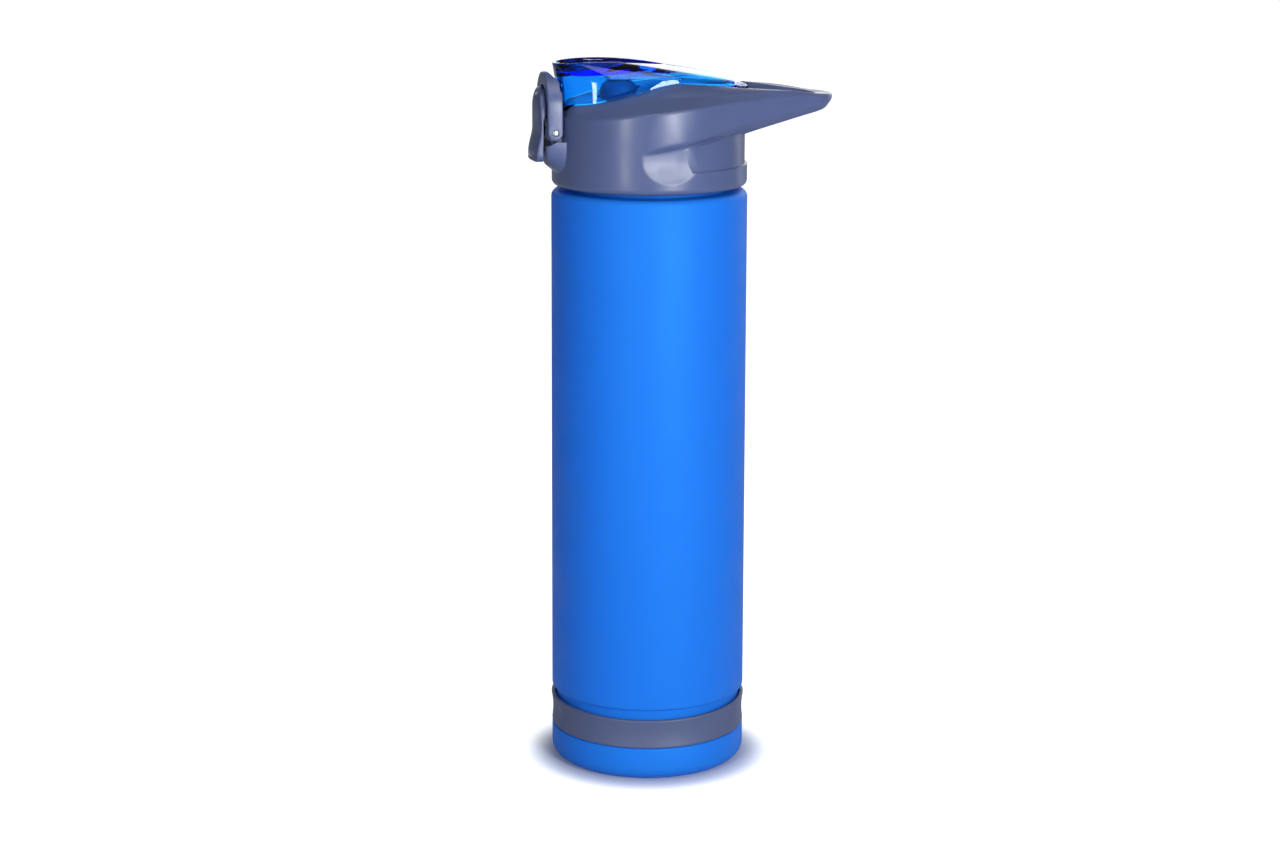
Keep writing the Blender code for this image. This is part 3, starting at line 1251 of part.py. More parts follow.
def torsion_spring(name, centre, coil_radius, wire, turns, span, leg_turns, leg_lengths, steel):
    """A coil about a pin along X; each leg leaves the coil along its tangent."""
    first_turn, last_turn = leg_turns
    sweep = 2 * math.pi * turns + (last_turn - first_turn)
    steps = round(COIL_STEPS * sweep / (2 * math.pi))
    route = []
    for i in range(steps + 1):
        turn = first_turn + sweep * i / steps
        x = between(span[0] + GAP + wire, span[1] - GAP - wire, i / steps)
        y = centre[0] + coil_radius * math.cos(turn)
        z = centre[1] + coil_radius * math.sin(turn)
        route.append(Vector((x, y, z)))
    first = Vector((0.0, math.sin(first_turn), -math.cos(first_turn))) * leg_lengths[0]
    last = Vector((0.0, -math.sin(last_turn), math.cos(last_turn))) * leg_lengths[1]
    route = [route[0] + first] + route + [route[-1] + last]
    print(f"{name}: least gap between turns {least_gap(route, wire) * 1000:.2f} mm")
    return tube(name, route, wire, steel)


def make_hinge_spring(steel):
    """Both legs point forward: the lower one rests on the cap, the upper one lifts the cover."""
    span = (-KNUCKLE_OUTER + KNUCKLE_THIN, -KNUCKLE_INNER)
    coil = (HINGE_COIL_RADIUS, HINGE_WIRE, HINGE_COIL_TURNS)
    legs = (HINGE_LEG, HINGE_LEG)
    return torsion_spring("hinge_spring", (HINGE_Y, HINGE_Z), *coil, span, HINGE_LEG_TURNS, legs, steel)


def make_button_spring(steel):
    """Both legs leave the coil's underside: one bears on the paddle's back, the other in the cap."""
    span = (LUG_NARROW_X, LUG_HALF_WIDTH)
    coil = (BUTTON_COIL_RADIUS, BUTTON_WIRE, BUTTON_COIL_TURNS)
    legs = (BUTTON_LEG, BUTTON_SHORT_LEG)
    return torsion_spring("button_spring", (PIN_Y, PIN_Z), *coil, span, BUTTON_LEG_TURNS, legs, steel)


def main():
    clear_scene()
    frosted_blue = material("frosted_blue", (0.012, 0.16, 0.72), 0.42, transmission=0.55)
    clear_blue = material("clear_blue", (0.005, 0.12, 0.75), 0.04, transmission=0.95)
    slate = material("slate_plastic", (0.115, 0.13, 0.235), 0.28)
    slate_rubber = material("slate_rubber", (0.10, 0.115, 0.20), 0.6)
    liner_grey = material("liner_plastic", (0.16, 0.18, 0.28), 0.4)
    seal = material("seal_silicone", (0.75, 0.77, 0.8), 0.5)
    steel = material("polished_steel", (0.72, 0.72, 0.74), 0.18, metallic=1.0)
    make_bottle(frosted_blue)
    make_band(slate_rubber)
    cap_axis = bpy.data.objects.new("cap_axis", None)
    cap_axis.location = (0.0, 0.0, COLLAR_BOTTOM)
    bpy.context.collection.objects.link(cap_axis)
    cap_pieces = [
        make_cap_shell(slate),
        make_liner(liner_grey),
        make_gasket(seal),
        make_spout(liner_grey),
        make_cover(clear_blue),
        make_stopper(seal),
        make_lock_ring(slate),
        make_paddle(slate),
        make_pin("hinge_pin", HINGE_Y, HINGE_Z, HINGE_PIN_RADIUS, KNUCKLE_OUTER, steel),
        make_pin("front_pin", PIN_Y, PIN_Z, FRONT_PIN_RADIUS, RING_HALF_WIDTH, steel),
        make_hinge_spring(steel),
        make_button_spring(steel),
    ]
    bpy.context.view_layer.update()
    for piece in cap_pieces:
        piece.parent = cap_axis
        piece.matrix_parent_inverse = cap_axis.matrix_world.inverted()


main()
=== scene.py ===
"""The dressed bottle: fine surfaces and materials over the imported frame, with stage, lights and camera."""

from math import asin, atan2, copysign, cos, degrees, hypot, pi, radians, sin, sqrt, tan, tau

import bmesh
import bpy
from mathutils import Matrix, Vector


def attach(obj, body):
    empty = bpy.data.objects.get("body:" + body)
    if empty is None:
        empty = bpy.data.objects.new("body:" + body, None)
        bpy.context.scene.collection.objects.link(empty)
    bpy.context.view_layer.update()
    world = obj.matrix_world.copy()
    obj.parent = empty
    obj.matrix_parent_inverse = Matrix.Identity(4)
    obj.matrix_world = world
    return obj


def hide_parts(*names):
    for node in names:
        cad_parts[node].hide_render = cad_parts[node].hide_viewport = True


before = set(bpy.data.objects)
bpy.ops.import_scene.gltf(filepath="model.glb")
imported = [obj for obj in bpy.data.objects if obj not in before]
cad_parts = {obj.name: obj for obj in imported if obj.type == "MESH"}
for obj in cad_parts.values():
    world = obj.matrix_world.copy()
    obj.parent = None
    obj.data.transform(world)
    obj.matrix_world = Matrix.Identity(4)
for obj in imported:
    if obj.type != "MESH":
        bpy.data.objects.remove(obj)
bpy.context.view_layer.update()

# Camera at the photograph's place

FOCAL_PIXELS = 2647.6
IMAGE_WIDTH = 1280.0
SENSOR = 36.0
CAMERA_DISTANCE = 0.9346
CAMERA_HEIGHT = 0.3373
CAMERA_AZIMUTH = radians(78.5)
CAMERA_PITCH = radians(12.924)
CAMERA_YAW = radians(-0.185)
CAMERA_ROLL = radians(0.18)

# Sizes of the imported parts, and of the fine forms on them, in metres

GAP = 0.0003
BODY_RADIUS = 0.035
BODY_DRAFT_SHARE = 0.012
BODY_WALL = 0.0022
SHOULDER_HEIGHT = 0.2097
SHOULDER_FILLET = 0.0026
SHOULDER_INSIDE_ANGLE = 75
BASE_WALL = 0.0032
BASE_FILLET = 0.0045
BASE_RING_RADIUS = 0.0235
BASE_RING_WIDTH = 0.0018
BASE_RING_DEPTH = 0.0006
BASE_DOME = 0.0008
BASE_DOME_MARGIN = 0.001
DOME_STEPS = 8
NECK_RADIUS = 0.0282
NECK_WALL = 0.0024
NECK_TOP = 0.2297
NECK_EDGE = 0.0006
NECK_END = 0.001
NECK_ROOT = 0.0008
NECK_ROOT_TURN = 0.0002
NECK_STEPS = 60
GROOVE_LOW = 0.0122
GROOVE_HIGH = 0.0265
GROOVE_DEPTH = 0.0016
GROOVE_EDGE = 0.0007
GROOVE_CORNER = 0.0005
BAND_HEIGHT = 0.0112
BAND_TOP_STAND = 0.00035
BAND_FOOT_STAND = 0.0001
BAND_WAIST = 0.0005
BAND_EDGE = 0.0007
BAND_TOP_DIP = 0.0009
BAND_FOOT_DIP = 0.0002
THREAD_PITCH = 0.005
THREAD_HALF_ROOT = 0.0013
THREAD_HALF_CREST = 0.0006
THREAD_FADE = radians(25.0)
THREAD_LEAST = 0.04
THREAD_EDGE = 0.0003
THREAD_SUNK = 0.0002
NECK_THREAD_Z = 0.2135
NECK_THREAD_HEIGHT = 0.0012
NECK_THREAD_TURNS = 1.5
LINER_THREAD_Z = 0.2160
LINER_THREAD_HEIGHT = 0.0011
LINER_THREAD_TURNS = 1.25
LINER_RADIUS = 0.0317
LINER_INNER_RADIUS = 0.0299
LINER_LOW = 0.2145
LINER_DISC_LOW = 0.2319
LINER_TOP = 0.2340
GASKET_LOW = 0.2300
GASKET_HEIGHT = 0.0016
GASKET_MARGIN = 0.0004
GASKET_EDGE = 0.0005
PIN_Y = -0.03575
PIN_Z = 0.2312
PIN = (PIN_Y, PIN_Z)
FRONT_PIN_RADIUS = 0.00105
HINGE_Y = 0.030
HINGE_Z = 0.2443046
HINGE = (HINGE_Y, HINGE_Z)
HINGE_PIN_RADIUS = 0.0010
PIN_PLAY = 0.0001
PIN_DOME = 0.00025
PIN_DOME_STEPS = 7
SIDE_PLAY = 0.0005
SEAT_LOW = 0.2405046
SEAT_TOP = 0.2486046
SEAT_BLEND = 0.0009
SEAT_NOSE = 0.0035
SEAT_RAMP_START = 0.0080
SEAT_RAMP_SHARE = 0.26
SEAT_CREST_BEHIND = 0.0358
SEAT_FALL_SHARE = 0.10
COVER_FRONT_Y = -0.0328
COVER_CENTRE_Y = 0.00035
COVER_HALF_LENGTH = 0.03315
COVER_HALF_WIDTH = 0.0196
COVER_FRONT_POWER = 2.6
COVER_REAR_POWER = 2.0
COVER_WALL = 0.0018
COVER_RISE_POWER = 2.44
COVER_REAR_RISE_POWER = 1.8
COVER_REAR_START_SHARE = 0.3
COVER_FOOT_CLIMB = 0.004
COVER_LIFT = 0.0004
COVER_STEPS = 144
COVER_RISES = 22
COVER_LAST_RISE = 0.95
COVER_INSIDE_RISES = (0.72, 0.63, 0.54, 0.46, 0.38, 0.3, 0.22, 0.15, 0.08, 0.03)
COVER_BORE = 0.013
TOP_HEIGHT = 0.2551046
TOP_CENTRE_Y = -0.015
TOP_CENTRE = (0.0, TOP_CENTRE_Y)
TOP_CREST_Y = -0.019
TOP_HALF_WIDTH = 0.0113
TOP_FRONT_LENGTH = 0.0196
TOP_REAR_LENGTH = 0.0210
TOP_FRONT_POWER = 2.5
TOP_REAR_POWER = 1.6
TOP_ARC = 0.160
TOP_LIP = 0.0008
TOP_LIP_SHARES = ((0.2, 0.0), (0.8, -0.15), (1.5, 0.1))
DISH_FLOOR = 0.2512046
DISH_UNDERSIDE = 0.2496046
DISH_INSET = 0.0036
DISH_FLOOR_SAG = 0.0003
DISH_POWER = 1.5
DISH_WALL_SHARES = (0.25, 0.5, 0.75, 0.93)
DISH_FLOOR_SHARES = (0.9, 0.6, 0.3)
DISH_UNDER_SHARES = (0.4, 0.8, 0.97)
KNUCKLE_RADIUS = 0.0035
KNUCKLE_INNER = 0.0049
KNUCKLE_OUTER = 0.0110
KNUCKLE_THIN = 0.0018
NOTCH_RADIUS = 0.0043
HINGE_WIRE = 0.00035
HINGE_COIL_RADIUS = 0.00175
TOOTH_LOW = 0.2406046
TOOTH_HEIGHT = 0.0022
TOOTH_HALF_WIDTH = 0.0036
TOOTH_RISE_SHARE = 0.3
TOOTH_REACH = 0.0008
RING_HALF_WIDTH = 0.0135
RING_INNER_HALF_WIDTH = 0.0105
RING_DEPTH = 0.0053
RING_TOP = 0.2515046
RING_ARCH_HEIGHT = 0.00455
RING_FILLET = 0.0006
RING_LEG_SHARES = (0.0, 0.25, 0.5, 0.75)
RING_LEG_SWEEP = -60
RING_CHAMFER_STAND = 0.00095
RING_CHAMFER_HEIGHT = 0.0031
RING_BACK_STAND = 0.0020
RING_BACK_HEIGHT = 0.0060
PADDLE_HALF_WIDTH = 0.0100
PADDLE_TOP = 0.2463046
PADDLE_BOTTOM = 0.2208
PADDLE_FACE = 0.0413766
PADDLE_BACK_Y = -0.0394
PADDLE_BACK_STEP = 0.0010
PADDLE_LIP = 0.0015
PADDLE_LIP_HIGH = 0.2320
PADDLE_LIP_LOW = 0.2230
PADDLE_LEAN_Z = 0.2390
PADDLE_LEAN_ARC = 0.0150
PADDLE_CORNER = 0.0022
PADDLE_SINK = 0.0006
PADDLE_BORE = 0.006
PADDLE_BACK_SHARES = (0.3, 0.6, 0.85, 0.95, 0.985)
PADDLE_EDGE_SHARES = (0.12, 0.3, 0.5, 0.7, 0.88)
PADDLE_FACE_SHARES = ((0.985, 0.0), (0.95, 0.0), (0.905, 0.0), (0.89, 0.25), (0.88, 0.8), (0.86, 1.0), (0.84, 0.8),
                      (0.83, 0.25), (0.815, 0.0), (0.7, 0.0), (0.5, 0.0), (0.25, 0.0))
PAD_GROOVE_DEPTH = 0.0005
CHEEK_RADIUS = 0.0031
LUG_RADIUS = 0.0022
LUG_HALF_WIDTH = 0.0039
LUG_NARROW_X = 0.0012
HOOK_LOW = 0.2431046
HOOK_HEIGHT = 0.0018
HOOK_HALF_WIDTH = 0.0036
BUTTON_WIRE = 0.0002
BUTTON_COIL_RADIUS = 0.00165
COLLAR_RADIUS = 0.0346
COLLAR_BOTTOM = 0.2114
COLLAR_EDGE = 0.0018
COLLAR_EDGE_ANGLES = (-90, -72, -54, -36, -18)
CAVITY_RADIUS = 0.0320
LOOP_TIP_RADIUS = 0.012
LOOP_TIP_CENTRE_Y = 0.054
LOOP_LOW_Z = 0.2268046
LOOP_LOW_SHARE = 0.165
LOOP_CHAMFER_HEIGHT = 0.0030
LOOP_CHAMFER_LEAST = 0.0014
LOOP_CHAMFER_INSET = 0.0022
LOOP_CHAMFER_RISE = (0.005, 0.030)
CREASE_START_Y = -0.006
RIM_TOP = 0.2428046
RIM_TOP_Y = 0.0553
RIM_ARC = 0.526
RIM_EDGE = 0.0009
FOOT_HEIGHT = 0.2438046
FOOT_CLIMB_SHARE = 0.04
FOOT_FALL_Y = 0.038
FOOT_FALL_ARC = 0.067
FOOT_INSET_SIDE = 0.0096
FOOT_INSET_REAR = 0.0060
FOOT_INSET_MOST_SHARE = 0.75
FOOT_REAR_TURN_SHARE = 0.7
SLOPE_RISE_SHARE = 0.56
SEAT_MARGIN = 0.0005
DECK_WALL = 0.0026
DECK_HOLE_RADIUS = 0.0075
DECK_HOLE_STEPS = 71
DECK_SHARES = (0.08, 0.15, 0.25, 0.35, 0.45, 0.55, 0.65, 0.75)
CAP_CORNERS = (0.0, 0.0006, 0.0012, 0.0010, 0.0020, 0.0008, 0.0)
CAVITY_LOW = 0.2372046
CAVITY_DROP_Y = 0.0215
CAVITY_DROP_SHARE = 1.6
CAVITY_RING_SHARES = (1.0, 1.0, 0.74, 0.5)
CAVITY_STRIDE = 4
FINGER_TIP_RADIUS = 0.0075
FINGER_TIP_CENTRE_Y = 0.0525
FINGER_HALF_WIDTH = 0.0155
FINGER_WALL_GAP = 0.0010
FINGER_CORNER = 0.0018
REAR_WALL_TOP = 0.2420046
RECESS_LOW = 0.2190
RECESS_DEPTH = 0.0009
RECESS_ANGLE_LOW = radians(14.5)
RECESS_ANGLE_HIGH = radians(7.5)
RECESS_STEPS = 121
SCOOP_ANGLE = radians(1.5)
SCOOP_HALF_ANGLE = radians(17.5)
SCOOP_Z = 0.2236
SCOOP_HALF_DOWN = 0.0083
SCOOP_HALF_UP = 0.0120
SCOOP_DEPTH = 0.0015
BOSS_FRONT_Y = -0.0390
BOSS_HALF_WIDTH = 0.0134
BOSS_BOTTOM = 0.2203
BOSS_CORNER_POWER = 3.0
BOSS_SLOPE_SHARE = 0.82
BOSS_FILLET = 0.0012
BOSS_FILLET_ANGLES = (0, 22.5, 45, 67.5, 90)
BOSS_STEPS = 61
BOSS_SHOULDER_ANGLE = radians(26.0)
CHEEK_INNER = 0.0044
CHEEK_OUTER = 0.0100
CHEEK_BACK_Y = -0.03265
POCKET_HALF_WIDTH = 0.0105
POCKET_DEPTH = 0.0022
HINGE_LUG_RADIUS = 0.0031
HINGE_LUG_BORE = 0.0110
CAP_FRONT_BORE = 0.0155
TROUGH_FRONT_Y = 0.0256
TROUGH_REACH = 0.0042
TROUGH_HALF_WIDTH = 0.0128
CIRCLE_STEPS = 200
LINE_STEPS = 24
TIP_STEPS = 60
WALL_STEPS = 48
SPOUT_Y = -0.011
SPOUT_CENTRE = (0.0, SPOUT_Y)
SPOUT_TOP = 0.2482046
SPOUT_BASE_Z = 0.2400
SPOUT_BORE = 0.0029
SPOUT_LIP_RADIUS = 0.0040
SPOUT_PLUG_RADIUS = 0.0043
SPOUT_NECK_RADIUS = 0.0062
SPOUT_BASE_RADIUS = 0.0072
SPOUT_LIP_HEIGHT = 0.0017
SPOUT_LIP_FLARE = 0.0006
SPOUT_LIP_DROP_SHARE = 0.15
SPOUT_FOOT_DROP_SHARE = 2.0
SPOUT_FOOT_FLARE_SHARE = 0.25
SPOUT_EDGE = 0.0006
CHIMNEY_RADIUS = 0.0062
CHIMNEY_BORE = 0.0046
STOPPER_FLANGE_RADIUS = 0.0046
STOPPER_REACH = 0.0020
STOPPER_TAPER = 0.0004
STOPPER_EDGE = 0.0003
OVERRUN = 0.002

ROUND_STEPS = 180
SMALL_STEPS = 64
KNUCKLE_STEPS = 49
BORE_STEPS = 32
WIRE_STEPS = 48
THREAD_STEPS = 96
CORNER_SHARE = 0.45
NORMAL_STEP = 0.01
HOLE_SIDES = 8
DECIMALS = 8
WELD = 0.0000005
SMOOTH_ANGLE = radians(40.0)


# Mesh tools


def placed(name, data):
    obj = bpy.data.objects.new(name, data)
    bpy.context.collection.objects.link(obj)
    return obj


def between(a, b, share):
    return a + (b - a) * share


def part_way(a, b, share):
    """A point part of the way from one flat point to another."""
    return between(a[0], b[0], share), between(a[1], b[1], share)


def smooth_step(value, start, end):
    share = min(1.0, max(0.0, (value - start) / (end - start)))
    return share * share * (3.0 - 2.0 * share)


def soft_min(a, b, blend):
    return (a + b - hypot(a - b, blend)) / 2


def soft_max(a, b, blend):
    return (a + b + hypot(a - b, blend)) / 2


def solid(name, points, faces):
    """A closed mesh with its faces turned outwards."""
    mesh = bpy.data.meshes.new(name)
    mesh.from_pydata([[round(value, DECIMALS) for value in point] for point in points], [], faces)
    work = bmesh.new()
    work.from_mesh(mesh)
    bmesh.ops.recalc_face_normals(work, faces=work.faces)
    if work.calc_volume(signed=True) < 0:
        bmesh.ops.reverse_faces(work, faces=work.faces)
    work.to_mesh(mesh)
    work.free()
    return placed(name, mesh)


def loft(name, rings, closed=False):
    """Skin over rings of equal length. A ring of one point is a pole."""
    points, starts, faces = [], [], []
    for ring in rings:
        starts.append(len(points))
        points.extend(ring)
    pairs = [(i, i + 1) for i in range(len(rings) - 1)]
    if closed:
        pairs.append((len(rings) - 1, 0))
    for low, high in pairs:
        count = max(len(rings[low]), len(rings[high]))
        if count == 1:
            continue
        for i in range(count):
            j = (i + 1) % count
            face = [starts[low] + i, starts[low] + j] if len(rings[low]) > 1 else [starts[low]]
            face += [starts[high] + j, starts[high] + i] if len(rings[high]) > 1 else [starts[high]]
            faces.append(face)
    if not closed:
        for end in (0, len(rings) - 1):
            if len(rings[end]) > 1:
                faces.append([starts[end] + i for i in range(len(rings[end]))])
    return solid(name, points, faces)


def on_circle(radius, turn, centre=(0.0, 0.0)):
    return centre[0] + radius * cos(turn), centre[1] + radius * sin(turn)


def rod(radius, low, high):
    """The half section of a plain cylinder, as (radius, height) points."""
    return [(0.0, low), (radius, low), (radius, high), (0.0, high)]


def rectangle(low, high):
    return [(low[0], low[1]), (high[0], low[1]), (high[0], high[1]), (low[0], high[1])]


def turned(name, outline, steps=ROUND_STEPS, centre=(0.0, 0.0), closed=False, along_x=False, warp=None):
    """A turned solid from (radius, height) points, about +Z at centre, or about +X at centre (y, z)."""
    rings = []
    for radius, height in outline:
        ring = []
        for i in range(steps if radius > 0 else 1):
            turn = tau * (i + 0.5) / steps
            far, high = warp(turn, radius, height) if warp else (radius, height)
            first, second = on_circle(far, turn, centre)
            ring.append((high, first, second) if along_x else (first, second, high))
        rings.append(ring)
    return loft(name, rings, closed)


def arc(centre, radius, start, end, steps):
    """Points on an arc, both ends included; angles in degrees."""
    return [on_circle(radius, radians(between(start, end, i / steps)), centre) for i in range(steps + 1)]


def rounded(outline, size, steps=3, closed=True):
    """The outline with each corner turned into a small curve."""
    found = []
    count = len(outline)
    for i, corner in enumerate(outline):
        if not closed and i in (0, count - 1):
            found.append(corner)
            continue
        here = Vector(corner)
        reach = size[i] if isinstance(size, tuple) else size
        before = Vector(outline[i - 1]) - here
        after = Vector(outline[(i + 1) % count]) - here
        start = here + before.normalized() * min(reach, before.length * CORNER_SHARE)
        end = here + after.normalized() * min(reach, after.length * CORNER_SHARE)
        for k in range(steps + 1):
            share = k / steps
            point = start * (1 - share) ** 2 + here * 2 * share * (1 - share) + end * share ** 2
            found.append(tuple(point))
    return found


def refined(rings, times):
    """More rings between the given ones, on a smooth curve through them."""
    found = []
    last = len(rings) - 1
    for i in range(last):
        around = [rings[max(0, i - 1)], rings[i], rings[i + 1], rings[min(last, i + 2)]]
        for k in range(times):
            t = k / times
            weights = (-t + 2 * t * t - t ** 3, 2 - 5 * t * t + 3 * t ** 3,
                       t + 4 * t * t - 3 * t ** 3, t ** 3 - t * t)
            ring = []
            for four in zip(*around):
                ring.append(tuple(sum(w * p[axis] for w, p in zip(weights, four)) / 2 for axis in range(3)))
            found.append(ring)
    found.append(rings[last])
    return found


def prism(name, outline, low, high, axis="Z"):
    """A flat outline pushed from low to high along an axis. The outline is (x, y) or, for X, (y, z)."""
    rings = []
    for depth in (low, high):
        rings.append([(a, b, depth) if axis == "Z" else (depth, a, b) for a, b in outline])
    return loft(name, rings)


def settle(obj):
    """Works the object's modifiers into its mesh."""
    bpy.context.view_layer.update()
    graph = bpy.context.evaluated_depsgraph_get()
    mesh = bpy.data.meshes.new_from_object(obj.evaluated_get(graph), depsgraph=graph)
    old = obj.data
    obj.modifiers.clear()
    work = bmesh.new()
    work.from_mesh(mesh)
    bmesh.ops.remove_doubles(work, verts=work.verts, dist=WELD)
    bmesh.ops.dissolve_degenerate(work, edges=work.edges, dist=WELD)
    bmesh.ops.holes_fill(work, edges=[edge for edge in work.edges if edge.is_boundary], sides=HOLE_SIDES)
    work.to_mesh(mesh)
    work.free()
    obj.data = mesh
    bpy.data.meshes.remove(old)
    mesh.name = obj.name


def combine(target, operation, *others):
    for other in others:
        modifier = target.modifiers.new(operation, "BOOLEAN")
        modifier.operation = operation
        modifier.solver = "EXACT"
        modifier.object = other
        settle(target)
        bpy.data.objects.remove(other, do_unlink=True)


def dress(obj, body, slot, *nodes):
    """Gives a piece the material for its slot, its body and smooth shading, and hides the CAD nodes that it stands
    for.
    """
    mesh = obj.data
    mesh.materials.clear()
    mesh.materials.append(looks[slot])
    mesh.shade_smooth()
    mesh.set_sharp_from_angle(angle=SMOOTH_ANGLE)
    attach(obj, body)
    if nodes:
        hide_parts(*nodes)


# Bottle and band


def body_radius(height):
    return BODY_RADIUS * (1.0 + BODY_DRAFT_SHARE * (0.5 - height / SHOULDER_HEIGHT))


def bottle_outline():
    base, low_edge = body_radius(0), body_radius(GROOVE_LOW)
    high_edge, shoulder = body_radius(GROOVE_HIGH), body_radius(SHOULDER_HEIGHT)
    neck_inner = NECK_RADIUS - NECK_WALL
    half_ring = BASE_RING_WIDTH / 2
    dome = BASE_RING_RADIUS - half_ring - BASE_DOME_MARGIN
    shares = [i / DOME_STEPS for i in range(DOME_STEPS)]
    outline = [(share * dome, BASE_DOME * (1 - share ** 2)) for share in shares]
    outline += [(BASE_RING_RADIUS - half_ring, 0.0), (BASE_RING_RADIUS, BASE_RING_DEPTH)]
    outline += [(BASE_RING_RADIUS + half_ring, 0.0)]
    outline += arc((base - BASE_FILLET, BASE_FILLET), BASE_FILLET, -90, 0, 10)
    outline += arc((low_edge - GROOVE_EDGE, GROOVE_LOW - GROOVE_EDGE), GROOVE_EDGE, 0, 90, 5)
    outline += rounded([(low_edge - GROOVE_EDGE, GROOVE_LOW), (low_edge - GROOVE_DEPTH, GROOVE_LOW),
                        (high_edge - GROOVE_DEPTH, GROOVE_HIGH), (high_edge - GROOVE_EDGE, GROOVE_HIGH)],
                       GROOVE_CORNER, 3, closed=False)[1:-1]
    outline += arc((high_edge - GROOVE_EDGE, GROOVE_HIGH + GROOVE_EDGE), GROOVE_EDGE, -90, 0, 5)
    edge = SHOULDER_FILLET
    outline += arc((shoulder - edge, SHOULDER_HEIGHT - edge), edge, 0, 90, 8)
    outline += [(NECK_RADIUS + NECK_ROOT, SHOULDER_HEIGHT)]
    outline += [(NECK_RADIUS + NECK_ROOT_TURN, SHOULDER_HEIGHT + NECK_ROOT_TURN)]
    start, end = SHOULDER_HEIGHT + NECK_ROOT, NECK_TOP - NECK_END
    outline += [(NECK_RADIUS, between(start, end, i / NECK_STEPS)) for i in range(NECK_STEPS + 1)]
    outline += rounded([(NECK_RADIUS, end), (NECK_RADIUS, NECK_TOP), (neck_inner, NECK_TOP), (neck_inner, end)],
                       NECK_EDGE, 4, closed=False)[1:]
    outline += [(neck_inner, SHOULDER_HEIGHT)]
    wall_in = shoulder - BODY_WALL
    outline += arc((wall_in - edge, SHOULDER_HEIGHT - BODY_WALL - edge), edge, SHOULDER_INSIDE_ANGLE, 0, 5)
    outline += [(high_edge - BODY_WALL, GROOVE_HIGH + GROOVE_DEPTH)]
    outline += [(high_edge - BODY_WALL - GROOVE_DEPTH, GROOVE_HIGH), (low_edge - BODY_WALL - GROOVE_DEPTH, GROOVE_LOW)]
    foot = low_edge - BODY_WALL
    outline += [(foot, GROOVE_LOW - GROOVE_DEPTH)]
    outline += arc((foot - BASE_FILLET, BASE_WALL + BASE_FILLET), BASE_FILLET, 0, -90, 6)
    outline += [(0.0, BASE_WALL)]
    return outline


def thread_fade(along, turns):
    """How high a thread stands along its turns, as a share: it grows out of the wall at both ends."""
    return smooth_step(along, 0.0, THREAD_FADE) * smooth_step(tau * turns - along, 0.0, THREAD_FADE)


def thread_rise(turn, height, low, turns):
    """How far a thread's ridge stands at a place, as a share of its full height."""
    best = 0.0
    for lap in range(int(turns) + 1):
        along = turn + tau * lap
        if along <= tau * turns:
            off = abs(height - low - THREAD_PITCH * along / tau)
            ridge = 1.0 - smooth_step(off, THREAD_HALF_CREST, THREAD_HALF_ROOT)
            best = max(best, thread_fade(along, turns) * ridge)
    return best


def neck_warp(turn, radius, height):
    if radius != NECK_RADIUS:
        return radius, height
    return radius + NECK_THREAD_HEIGHT * thread_rise(turn, height, NECK_THREAD_Z, NECK_THREAD_TURNS), height


def camera_side(turn):
    """1 on the side of the bottle that the photograph shows, falling to 0 round it."""
    facing = CAMERA_AZIMUTH - pi / 2
    return max(0.0, cos(turn - facing)) ** 2


def band_outline():
    low = GROOVE_LOW + GAP
    high = low + BAND_HEIGHT
    inside = body_radius(GROOVE_LOW) - GROOVE_DEPTH + GAP
    foot = body_radius(low) + BAND_FOOT_STAND
    top = body_radius(high) + BAND_TOP_STAND
    outline = [(inside, low), (foot, low)]
    steps = 8
    for i in range(1, steps):
        share = i / steps
        bow = BAND_WAIST * sin(pi * share)
        outline.append((between(foot, top, share) - bow, between(low, high, share)))
    outline += [(top, high), (inside, high)]
    return rounded(outline, BAND_EDGE, 4)


def band_warp(turn, radius, height):
    share = (height - GROOVE_LOW - GAP) / BAND_HEIGHT
    return radius, height - camera_side(turn) * between(BAND_FOOT_DIP, BAND_TOP_DIP, share)


# Spout, liner, gasket and stopper


def spout_outline():
    foot = LINER_DISC_LOW + GAP
    lip = SPOUT_LIP_HEIGHT
    outline = [(SPOUT_BORE, foot), (SPOUT_PLUG_RADIUS, foot), (SPOUT_PLUG_RADIUS, SPOUT_BASE_Z),
               (SPOUT_BASE_RADIUS, SPOUT_BASE_Z),
               (SPOUT_NECK_RADIUS + lip * SPOUT_FOOT_FLARE_SHARE, SPOUT_TOP - lip * SPOUT_FOOT_DROP_SHARE),
               (SPOUT_NECK_RADIUS, SPOUT_TOP - lip),
               (SPOUT_LIP_RADIUS + SPOUT_LIP_FLARE, SPOUT_TOP - lip * SPOUT_LIP_DROP_SHARE),
               (SPOUT_LIP_RADIUS, SPOUT_TOP), (SPOUT_BORE, SPOUT_TOP)]
    return rounded(outline, SPOUT_EDGE, 4)


def make_liner():
    profile = [(0.0, LINER_TOP), (LINER_RADIUS, LINER_TOP), (LINER_RADIUS, LINER_LOW)]
    profile += [(LINER_INNER_RADIUS, LINER_LOW), (LINER_INNER_RADIUS, LINER_DISC_LOW), (0.0, LINER_DISC_LOW)]
    liner = turned("liner", rounded(profile, NECK_EDGE, 3, closed=False))
    chimney = rod(CHIMNEY_RADIUS, LINER_DISC_LOW + GAP, SPOUT_BASE_Z - GAP)
    combine(liner, "UNION", turned("chimney", chimney, SMALL_STEPS, SPOUT_CENTRE))
    bore = rod(CHIMNEY_BORE, LINER_DISC_LOW - OVERRUN, SPOUT_BASE_Z + OVERRUN)
    combine(liner, "DIFFERENCE", turned("bore", bore, SMALL_STEPS, SPOUT_CENTRE))
    return liner


